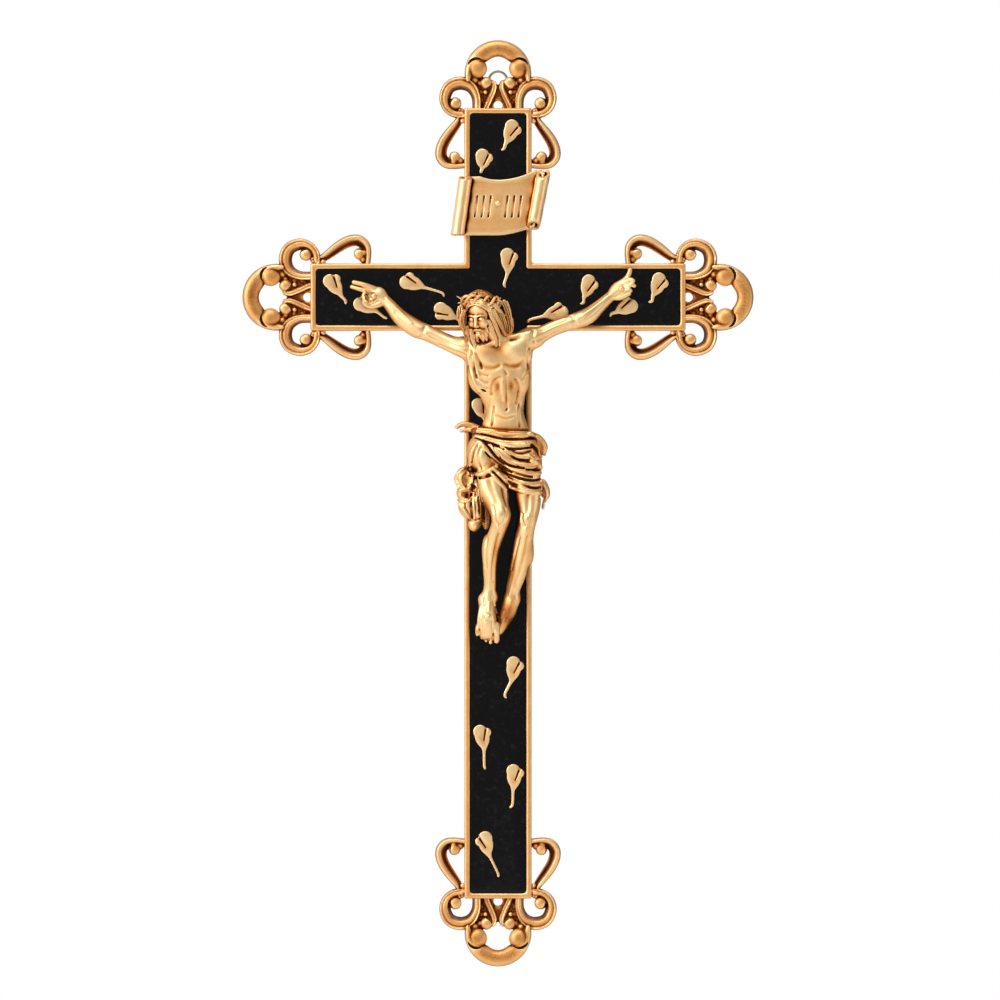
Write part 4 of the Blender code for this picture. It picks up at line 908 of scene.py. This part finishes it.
def head_rope(points, soft=1.0, carve=False):
    head.rope([(*(HEAD + axes @ np.array(p[:3], float)), p[3]) for p in points], soft, carve=carve)


# Skull, face, chin and jaw, then lids, cheeks, brows, nose, moustache and lips
head_mass((0, 5, -4), (14, 15.5, 16), 3)
head_mass((0, -5, 2), (11, 14, 12.5), 3)
head_mass((0, -14.5, 9), (5.5, 4.5, 5), 3)
head_mass((0, -13, 6.5), (9, 6.5, 6.5), 1.5)
for hand in (1, -1):
    head_mass((hand * 5.0, 0.6, 15.6), (3.6, 2.6, 3.0), 1.6, carve=True)
    head_mass((hand * 5.0, 0.2, 11.7), (3.0, 2.3, 2.6), 0.6)
    head_rope(((hand * 2.6, -0.9, 14.1, 0.4), (hand * 5.0, -1.5, 14.7, 0.5), (hand * 7.6, -0.7, 13.2, 0.35)),
              0.3, True)
    head_mass((hand * 6.8, -5.0, 9.6), (3.8, 3.4, 3.4), 3)
    head_rope(((hand * 1.8, 3.6, 14.6, 0.8), (hand * 5.4, 4.4, 13.8, 1.0), (hand * 8.8, 3.2, 11.2, 0.7)), 1.6)
    head_mass((hand * 1.8, -6.6, 15.0), (1.5, 1.2, 1.7), 1.0)
    head_rope(((0, -9.6, 15.4, 0.9), (hand * 3.2, -10.6, 14.4, 1.1), (hand * 6.2, -13.4, 11.8, 0.9)), 0.8)
    head_rope(((hand * 6.5, -6, 12.4, 0.8), (hand * 8.6, -11, 9.4, 1.0), (hand * 8.0, -16, 7, 1.0)), 1.0)
head_rope(((0, 4.0, 13.4, 1.5), (0, -1.0, 15.2, 1.5), (0, -5.6, 16.8, 1.9)), 1.8)
head_rope(((-2.6, -11.6, 13.7, 0.7), (0, -11.3, 14.5, 0.9), (2.6, -11.6, 13.7, 0.7)), 0.4)
head_rope(((-2.2, -13.2, 13.4, 0.7), (0, -13.5, 14.0, 1.0), (2.2, -13.2, 13.4, 0.7)), 0.4)
head_rope(((-2.8, -12.3, 14.6, 0.3), (0, -12.3, 15.4, 0.4), (2.8, -12.3, 14.6, 0.3)), 0.2, True)
# Beard: short curls in two points
for hand in (1, -1):
    for bx, by, bz, curl in ((1.4, -16, 13.4, 2.0), (3.8, -16.6, 11.8, 1.9), (6.2, -15.6, 9.4, 1.9),
                             (7.8, -12.6, 8.0, 1.7), (2.4, -19.6, 11.4, 1.9), (5.0, -19.6, 9.2, 1.8)):
        head_rope(((hand * bx, by, bz, curl), (hand * (bx + 0.8), by - 2.6, bz - 0.4, curl * 0.8),
                   (hand * (bx + 0.2), by - 4.6, bz - 1.6, curl * 0.45)), 0.5)

# Hair: a cap combed from the parting, then long locks to the shoulders
head_mass((0, 8, -5), (15.5, 16.5, 16.5), 1.5)
for k in range(13):
    a = math.radians(-84 + 14 * k)
    head_rope([(15.4 * math.sin(a * s) + 0.4 * math.sin(5 * s), 8 + 16.6 * math.cos(a * s), -5 + 9 * s, 1.3)
               for s in (0.12, 0.5, 1.0)], 0.5)
for hand in (1, -1):
    for lift in (-2.2, 0, 1.9, 3.6):
        head_rope(((hand * 0.8, 17 + 0.7 * lift, 10.5 - 0.6 * lift, 0.9),
                   (hand * 7, 15.5 + lift, 9.6 - 0.6 * lift, 1.1),
                   (hand * 12.2, 9 + lift, 6.6 - 0.3 * lift, 1.3), (hand * 14.2, 0.5 + lift, 4.6, 1.2)), 0.2)
HAIR = (
    # at the right: a bright curl, then long locks over the shoulder
    ((-4, -7, 38, 2.2), (0, -13, 36, 2.6), (5, -18, 33, 2.4), (9, -19, 30, 2.2)),
    ((6, -5, 26, 3.6), (9, -14, 25, 4.0), (10.5, -25, 24, 4.0), (11, -34, 22, 3.6), (9.5, -40, 21, 2.4)),
    ((1, -14, 32, 2.8), (5, -23, 31, 3.2), (8, -32, 28, 3.0), (7, -39, 25, 2.2)),
    ((-5, -13, 37, 2.2), (0, -24, 35, 2.6), (4, -33, 32, 2.6), (8, -39, 28, 1.8)),
    ((-8, -16, 38, 2.0), (-3, -28, 36, 2.4), (1, -38, 32, 2.2), (2, -49, 28, 1.5)),
    ((-9, -24, 37, 1.8), (-6, -34, 35, 2.2), (-2, -43, 31, 1.8), (-2, -50, 28, 1.2)),
    ((12, -22, 21, 3.0), (13, -32, 20, 3.0), (11, -39, 19, 2.0)),
    # at the left: locks round the cheek, and thin strands that fall on the shoulder
    ((-37, -10, 27, 3.2), (-39, -18, 27, 3.2), (-37.5, -27, 27, 3.0), (-34, -35, 26, 2.2)),
    ((-34, -14, 33, 2.4), (-36, -23, 32, 2.6), (-34, -32, 31, 2.4), (-30, -38, 29, 1.8)),
    ((-31, -30, 31, 2.0), (-29.5, -40, 29, 2.2), (-26, -49, 26, 1.8), (-22, -56, 25, 1.1)),
    ((-27, -33, 33, 1.8), (-25, -43, 30, 2.0), (-22, -52, 27, 1.6), (-20, -57, 26, 1.0)),
    ((-34, -33, 26, 1.8), (-32, -42, 24, 1.8), (-28, -51, 23, 1.2)),
)
# Hair that fills in behind the cheek
head.mass((-33, -22, 20), (5, 14, 6), 1.5)
# Each lock is a core with raised strands, and grooves cut between them, that wind slowly round
# it: how far they lie from its middle as a share of its radius, thickness and turn in degrees
STRANDS = 4
STRAND_WIND = 24
RELIEF = ((0.84, 0.55, 0, False), (1.12, 0.62, 90 / STRANDS, True))
for k, lock in enumerate(HAIR):
    head.rope([(px, py, pz - 0.3 * r, r * 0.62) for px, py, pz, r in lock], 0.5)
    for strand in range(STRANDS):
        lean = 180 / STRANDS * (strand + 0.3) + STRAND_WIND * np.arange(len(lock)) * (-1) ** k
        for share, thick, turned, carve in RELIEF:
            winding = zip(lock, np.radians(lean + turned))
            head.rope([(px + share * r * math.cos(a), py, pz + 0.8 * share * r * math.sin(a),
                        0.08 * r + thick) for (px, py, pz, r), a in winding], 0.15, carve=carve)

# Crown: three twisted stems round the head, higher in front, with thorns
CROWN_STEMS = 3
CROWN_TURNS = 4
CROWN_RADIUS = 1.5
CROWN_UP = 12.5
CROWN_TILT = 6.5
CROWN_SPANS = 48
THORNS = 18
for strand in range(CROWN_STEMS):
    ring_points = []
    for k in range(CROWN_SPANS + 1):
        a = 2 * math.pi * k / CROWN_SPANS
        twist = CROWN_TURNS * a + strand * 2 * math.pi / CROWN_STEMS
        swell = 2.2 * math.cos(twist)
        up = CROWN_UP + CROWN_TILT * math.cos(a) + 4.8 * math.sin(twist)
        forward = -4 + (15 - 3 * math.cos(a) + swell) * math.cos(a)
        radius = CROWN_RADIUS * (1 + 0.12 * math.sin(7 * a))
        ring_points.append(((17.3 + swell) * math.sin(a), up, forward, radius))
    head_rope(ring_points, 0.35)
for k in range(THORNS):
    a = 2 * math.pi * (k + 0.3) / THORNS
    lean = 0.5 * math.sin(k * 2.4)
    up = CROWN_UP + CROWN_TILT * math.cos(a) + 1.5 * math.cos(k * 1.7)
    root = (17.5 * math.sin(a), up, -4 + (15 - 3 * math.cos(a)) * math.cos(a), 1.2)
    tip = (23 * math.sin(a + lean * 0.25), up + 1.5 + 3.6 * math.cos(k * 2.1),
           -4 + 19 * math.cos(a + lean * 0.2), 0.45)
    head_rope((root, tip), 0.5)

# Nail heads: a square one in each palm, a round one in the foot
figure.mass((-124, 0.5, 12), (3.0, 3.0, 2.2), 0.4, 20)
figure.mass((123, 8, 13), (3.2, 3.2, 2.6), 0.4)
figure.rope(((-10, -319, 20, 2.0), (-10, -319.5, 26, 2.2)), 0.4)
figure.mass((-10, -320, 26.5), (3.5, 3.3, 1.9), 0.4)

# The casting is cut flat at its back and kept inside the depth that it was planned with
front = (-figure_low.y - FIGURE_BACK) / STEP - 0.2
shells = []
for clay, low, high, limit, fine, broad in ((figure, floor_of_grid, top_of_grid, FIGURE_LIMIT, 2, 6),
                                            (head, head_low, head_high, HEAD_LIMIT, 2, 8)):
    spans, x, y, z = clay.window(low, high)
    clay.field[spans] = np.maximum(clay.field[spans], np.maximum(-z, z - front))
    shells.append(cast(clay, limit, fine, broad))
# Where more darkening is laid on, besides the hollows: painted shadow under the beard and beside the hair at
# the left, painted shade down the right flank, the right sides of the shins and the inner side of the leg
# behind, and deeper tone on the hair, crown, beard, belly, cloth and feet. Each is right, up, half sizes and
# how much
TONE_AND_PAINTED_SHADE = (
    (8, -27, 10, 18, 0.12), (-11, -54, 14, 6, 0.10), (-34, -28, 7, 20, 0.12), (-13, 1, 28, 9, 0.07),
    (-18, -40, 10, 9, 0.05), (-2, -93, 8, 15, 0.09), (15, -93, 8, 15, 0.09), (-12, -108, 5, 12, 0.05),
    (-32, -181, 7, 11, 0.13), (40, -150, 10, 12, 0.13), (19, -212, 5, 26, 0.18), (13, -262, 5, 28, 0.18),
    (-32, -129, 16, 9, 0.10), (-14, -216, 6, 18, 0.20), (9, -316, 10, 20, 0.18), (-1, -262, 4, 30, 0.14),
    (31, -262, 4, 28, 0.08), (30, -75, 5, 22, 0.05), (6, -136, 30, 5, 0.09), (6, -165, 16, 16, 0.03),
    (24, -172, 20, 14, 0.03),
)
# Small hollows and broad ones both hold tone, and the sides get painted shade, darker the further they turn
# from the front
FIGURE_TONE, FIGURE_TONE_LEAST, FIGURE_TONE_MOST = 0.44, 0.40, 0.695
PAINTED_SIDE_SHADE = 0.20
toned_and_shaded_shells = []
for points, faces, fine, broad in shells:
    hollows = np.maximum(FIGURE_TONE + 1.4 * (fine - 0.5) + 0.8 * (broad - 0.46), FIGURE_TONE_LEAST)
    hollows = hollows + PAINTED_SIDE_SHADE * (1 - facing_out(points, faces)) ** 1.2
    for tx, ty, half_x, half_y, darkening in TONE_AND_PAINTED_SHADE:
        near = 1.3 - np.hypot((points[:, 0] - tx) / half_x, (points[:, 1] - ty) / half_y)
        hollows = hollows + darkening * np.clip(near, 0, 1)
    hollows = np.minimum(hollows, FIGURE_TONE_MOST)
    toned_and_shaded_shells.append((points * STEP + (0, crossing, FIGURE_BACK), faces, hollows))
corpus = add_piece("gilt_figure", toned_and_shaded_shells, gilt)
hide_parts("corpus")

# Title scroll: a thin cast plate with both sides rolled, the left one under and the right one
# over. It stands off the enamel, and its inscription is a row of plain cut strokes.
TITLE_WIDTH = 26.0 * MM
TITLE_HEIGHT = 16.6 * MM
TITLE_DROP = 26.2 * MM
TITLE_LEAN = 2.3 * MM
TITLE_WALL = 0.9 * MM
SEAT = 5.9 * MM
# Across and out from the seat, in shares of the half width, from the left roll's inner edge
TITLE_SECTION = (
    (-0.83, 0.20), (-0.77, 0.165), (-0.725, 0.20), (-0.74, 0.27), (-0.82, 0.32), (-0.91, 0.305),
    (-0.965, 0.235), (-0.95, 0.15), (-0.87, 0.095), (-0.74, 0.095), (-0.55, 0.12), (-0.3, 0.125),
    (0, 0.13), (0.3, 0.13),
    (0.55, 0.125), (0.75, 0.10), (0.89, 0.115), (0.97, 0.19), (0.975, 0.29), (0.90, 0.365), (0.81, 0.36),
    (0.755, 0.295), (0.765, 0.22), (0.82, 0.19), (0.865, 0.225),
)
TITLE_LEFT_SHARE = 0.9
TITLE_CELL = 0.5
TITLE_LIMIT = 60000
# The rolls' ends are cut aslant, so that their hollows show: slope at the top and at the foot
ROLL_SLANTS = {-1: (0.35, 0.1), 1: (0.8, 0.75)}
STROKE_PITCH = 2.3 * MM / STEP
STROKES = (-2.6, -1.8, -1.0, 1.0, 1.8, 2.6)
STROKE_LENGTH = 20.5
STROKE_LOW = 2.9
STROKE_DEPTH = 1.7
STROKE_LEAN = 0.13
TITLE_TONE = 0.462

title_middle = shaft_top - TITLE_DROP
half_wide = TITLE_WIDTH / 2 / STEP
half_tall = TITLE_HEIGHT / 2 / STEP
seat = SEAT / STEP
corner = (-half_wide - 7, -half_tall - 3, seat - 4), (half_wide + 7, half_tall + 6, seat + 24)
title = Clay(*corner, TITLE_CELL)
spans, x, y, z = title.window(*corner)
section = np.array(smooth(TITLE_SECTION, 5)) * half_wide + (0, seat)
row = np.clip((y[0, :, 0] + half_tall) / (2 * half_tall), 0, 1)
shape = np.empty(title.field.shape, np.float32)
for j, up in enumerate(y[0, :, 0]):
    # The right roll narrows towards the foot, and the plate leans
    turn_in = 1 - 0.07 * (1 - row[j])
    across = x[:, 0, :] - TITLE_LEAN / STEP * (row[j] - 0.5)
    across = np.where(across > 0, across / turn_in, across / TITLE_LEFT_SHARE)
    away = np.full(np.broadcast(across, z[0]).shape, 99.0)
    for a, b in zip(section, section[1:]):
        along = b - a
        t = np.clip(((across - a[0]) * along[0] + (z[0] - a[1]) * along[1]) / (along @ along), 0, 1)
        away = np.minimum(away, np.hypot(across - a[0] - t * along[0], z[0] - a[1] - t * along[1]))
    share = np.clip(across / half_wide, -1, 1)
    sag = np.clip(share, -0.5, 0.7)
    top = 2 * half_tall * (0.395 + 0.034 * sag + 0.28 * sag * sag)
    foot = -2 * half_tall * (0.53 - 0.2 * np.maximum(sag, 0) ** 2)
    for side, (top_slope, foot_slope) in ROLL_SLANTS.items():
        rolled = np.clip((side * share - 0.6) / 0.1, 0, 1) * np.maximum(z[0] - seat - 0.16 * half_wide, 0)
        top = top - top_slope * rolled
        foot = foot + foot_slope * rolled
    wall = TITLE_WALL / STEP / 2 * (1 + 0.08 * math.sin(up * 0.35))
    edge = np.maximum(up - top, foot - up)
    shape[:, j, :] = np.maximum(away - wall, edge + 0.6 * np.maximum(1 - (wall - away), 0))
title.field[:] = shape
for stroke in STROKES:
    path = [(stroke * STROKE_PITCH + STROKE_LEAN * up, up - STROKE_LOW, 1.0)
            for up in np.linspace(-0.5, 0.5, 5) * STROKE_LENGTH]
    title.line(path, -STROKE_DEPTH, 0.3, spans=2)
title_points, title_faces, title_hollows = cast(title, TITLE_LIMIT, 2)
title_hollows = TITLE_TONE + 2.4 * (title_hollows - 0.42)
plate = add_piece("title_plate", [
    (title_points * STEP + (0, title_middle, 0), title_faces, title_hollows)], gilt)
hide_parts("title_scroll")

# Title pin: a round-headed brass pin through the title into the cross, peened a little out of
# true and rubbed bright. Its profile is across in shares of its radius and out in shares of the
# head's rise.
pin_low, pin_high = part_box("title_pin")
PIN_PROFILE = ((0.0, 1.0), (0.22, 0.98), (0.45, 0.9), (0.66, 0.74), (0.84, 0.5), (0.96, 0.2), (1.0, 0.0),
               (0.9, -0.08), (0.47, -0.1), (0.47, -3.0), (0, -3.0))
PIN_SIDES = 28
pin_radius = (pin_high.x - pin_low.x) / 2
pin_out = -pin_low.y
head_rise = 0.6 * MM
pin_up = (pin_high.z + pin_low.z) / 2
points, faces = [], []
for r, h in PIN_PROFILE:
    for k in range(PIN_SIDES):
        a = 2 * math.pi * k / PIN_SIDES
        dent = 1 + 0.04 * noise.noise(Vector((math.cos(a), math.sin(a), r * 2)) * 1.5)
        out = pin_out - head_rise + head_rise * h
        reach = r * pin_radius * dent
        points.append((reach * math.cos(a), pin_up + reach * math.sin(a), out))
for r in range(len(PIN_PROFILE) - 1):
    for k in range(PIN_SIDES):
        n = (k + 1) % PIN_SIDES
        faces.append([(r + 1) * PIN_SIDES + k, (r + 1) * PIN_SIDES + n, r * PIN_SIDES + n, r * PIN_SIDES + k])
pin = add_piece("title_pin_head", [(np.array(points), faces, 0.38)], gilt, crease=40)
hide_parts("title_pin")

# Hanging ring: a loop of bright drawn steel wire, its ends soldered behind the top scrolls. The
# solder swells it on the inside at the foot.
WIRE_SPANS = 72
WIRE_SIDES = 16
ring_low, ring_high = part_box("hanging_ring")
wire_radius = (ring_high.y - ring_low.y) / 2
ring_middle = (ring_high.z + ring_low.z) / 2
ring_radius = (ring_high.x - ring_low.x) / 2 - wire_radius
ring_out = -(ring_high.y + ring_low.y) / 2
points, faces = [], []
for k in range(WIRE_SPANS):
    a = 2 * math.pi * k / WIRE_SPANS
    lump = 1 + 0.35 * math.exp(-((a - 1.5 * math.pi) / 0.22) ** 2)
    for s in range(WIRE_SIDES):
        b = 2 * math.pi * s / WIRE_SIDES
        r = ring_radius + wire_radius * math.cos(b) * (lump if math.cos(b) < 0 else 1)
        points.append((r * math.cos(a), ring_middle + r * math.sin(a), ring_out + wire_radius * math.sin(b)))
for k in range(WIRE_SPANS):
    for s in range(WIRE_SIDES):
        n, m = (k + 1) % WIRE_SPANS, (s + 1) % WIRE_SIDES
        faces.append([k * WIRE_SIDES + s, n * WIRE_SIDES + s, n * WIRE_SIDES + m, k * WIRE_SIDES + m])

# Drawn steel wire: bright, with dull marks from the draw that break its highlight. They are
# drawn coarser than they are, so that they show.
STEEL = "#CFC6B8"
STEEL_DULL = "#8E857A"
DRAW_MARK = 0.5 * MM

steel, tree, shader = new_material("steel_wire_drawn")
spot = add_node(tree, "ShaderNodeTexCoord").outputs["Object"]
marks = add_node(tree, "ShaderNodeTexNoise", {"Vector": spot, "Scale": 1 / DRAW_MARK, "Detail": 4.0})
dulled = add_node(tree, "ShaderNodeMix", {
    0: marks.outputs["Fac"], 6: linear(STEEL), 7: linear(STEEL_DULL)}, data_type="RGBA")
worn = add_node(tree, "ShaderNodeMapRange", {"Value": marks.outputs["Fac"], "To Min": 0.2, "To Max": 0.42})
drawn = add_node(tree, "ShaderNodeBump", {
    "Height": marks.outputs["Fac"], "Strength": 0.2, "Distance": 0.04 * MM})
tree.links.new(dulled.outputs[2], shader.inputs["Base Color"])
tree.links.new(worn.outputs[0], shader.inputs["Roughness"])
tree.links.new(drawn.outputs[0], shader.inputs["Normal"])
shader.inputs["Metallic"].default_value = 1.0

ring = add_piece("wire_ring", [(np.array(points), faces, 0.4)], steel)
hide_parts("hanging_ring")

# Studio: the floor is a pale round table top below the cross, and the air round it is white.
# Soft lamps stand to the left, above and to the right, so that the cross's face stays calm.
FLOOR_DROP = 320 * MM
FLOOR_RADIUS = 1.35
FLOOR_SIDES = 72
points = [(0, 0, -FLOOR_DROP)]
points += [(FLOOR_RADIUS * math.cos(a), FLOOR_RADIUS * math.sin(a), -FLOOR_DROP)
           for a in np.radians(np.arange(FLOOR_SIDES) * 360 / FLOOR_SIDES)]
floor_mesh = bpy.data.meshes.new("floor")
floor_mesh.from_pydata(points, [], [(0, k, k % FLOOR_SIDES + 1) for k in range(1, FLOOR_SIDES + 1)])
floor = bpy.data.objects.new("floor", floor_mesh)
bpy.context.scene.collection.objects.link(floor)

# Pale matt plaster, faintly mottled: it takes a soft shadow and gives no glare.
PLASTER = "#F4F2EE"
PLASTER_MOTTLE = "#EAE8E3"
plaster, tree, shader = new_material("pale_plaster_floor")
mottle = add_node(tree, "ShaderNodeTexNoise", {"Scale": 30.0, "Detail": 3.0})
pale = add_node(tree, "ShaderNodeMix", {
    0: mottle.outputs["Fac"], 6: linear(PLASTER), 7: linear(PLASTER_MOTTLE)}, data_type="RGBA")
tree.links.new(pale.outputs[2], shader.inputs["Base Color"])
shader.inputs["Roughness"].default_value = 0.8
floor_mesh.materials.append(plaster)

# Light from the air: its level, and how it falls off to the right and grows upward
AIR_LEVEL, AIR_ACROSS, AIR_UP = 0.49, -0.38, 0.34
world = bpy.data.worlds.new("white_studio")
bpy.context.scene.world = world
world.use_nodes = True
tree = world.node_tree
tree.nodes.clear()
seen = add_node(tree, "ShaderNodeLightPath").outputs["Is Camera Ray"]
direction = add_node(tree, "ShaderNodeTexCoord").outputs["Generated"]
parts_of = add_node(tree, "ShaderNodeSeparateXYZ", {"Vector": direction})
sideways = add_node(tree, "ShaderNodeMath", {
    0: parts_of.outputs["X"], 1: AIR_ACROSS, 2: AIR_LEVEL}, operation="MULTIPLY_ADD")
upward = add_node(tree, "ShaderNodeMath", {
    0: parts_of.outputs["Z"], 1: AIR_UP, 2: 0.0}, operation="MULTIPLY_ADD")
air = add_node(tree, "ShaderNodeMath", {0: sideways.outputs[0], 1: upward.outputs[0]}, operation="ADD")
# A dark card stands behind the camera, so that the enamel mirrors it and stays black
card = add_node(tree, "ShaderNodeMapRange", {
    "Value": parts_of.outputs["Y"], "From Min": -0.99, "From Max": -0.90, "To Min": 0.9, "To Max": 1.0})
lit = add_node(tree, "ShaderNodeMath", {0: air.outputs[0], 1: card.outputs[0]}, operation="MULTIPLY")
dim = add_node(tree, "ShaderNodeBackground", {"Color": (1.0, 0.99, 0.97, 1), "Strength": lit.outputs[0]})
white = add_node(tree, "ShaderNodeBackground", {"Color": (1, 1, 1, 1), "Strength": 1.0})
sky = add_node(tree, "ShaderNodeMixShader", {0: seen, 1: dim.outputs[0], 2: white.outputs[0]})
add_node(tree, "ShaderNodeOutputWorld", {"Surface": sky.outputs[0]})

# The lamps point at the middle of the cross: where each one stands, its size and its power
LAMP_AIM = Vector((0, 0, -117 * MM))
LAMPS = (
    ("lamp_left", (-1.05, -0.95, 0.30), 0.45, 7), ("lamp_top", (-0.15, -0.80, 1.00), 0.45, 5),
    ("lamp_right", (1.25, -0.45, -0.05), 0.4, 1.5), ("lamp_back", (0.3, 1.4, 0.5), 0.9, 5),
)
for name, at, size, power in LAMPS:
    lamp = bpy.data.lights.new(name, "AREA")
    lamp.shape = "SQUARE"
    lamp.size = size
    lamp.energy = power
    stand = bpy.data.objects.new(name, lamp)
    stand.location = at
    stand.rotation_euler = (LAMP_AIM - Vector(at)).to_track_quat("-Z", "Y").to_euler()
    bpy.context.scene.collection.objects.link(stand)

# The camera looks straight at the cross from far off, with the photograph's frame
FRAME_WIDTH = 273.4 * MM
CAMERA_AWAY = 3.0
CAMERA_ACROSS = 0.55 * MM
CAMERA_DROP = 116.9 * MM
lens = bpy.data.cameras.new("camera")
lens.sensor_width = 36
lens.lens = lens.sensor_width * CAMERA_AWAY / FRAME_WIDTH
lens.clip_start = 0.1
camera = bpy.data.objects.new("camera", lens)
camera.location = (CAMERA_ACROSS, -CROSS_DEPTH - CAMERA_AWAY, -CAMERA_DROP)
camera.rotation_euler = (math.radians(90), 0, 0)
bpy.context.scene.collection.objects.link(camera)
bpy.context.scene.camera = camera
bpy.context.scene.view_settings.view_transform = "Standard"
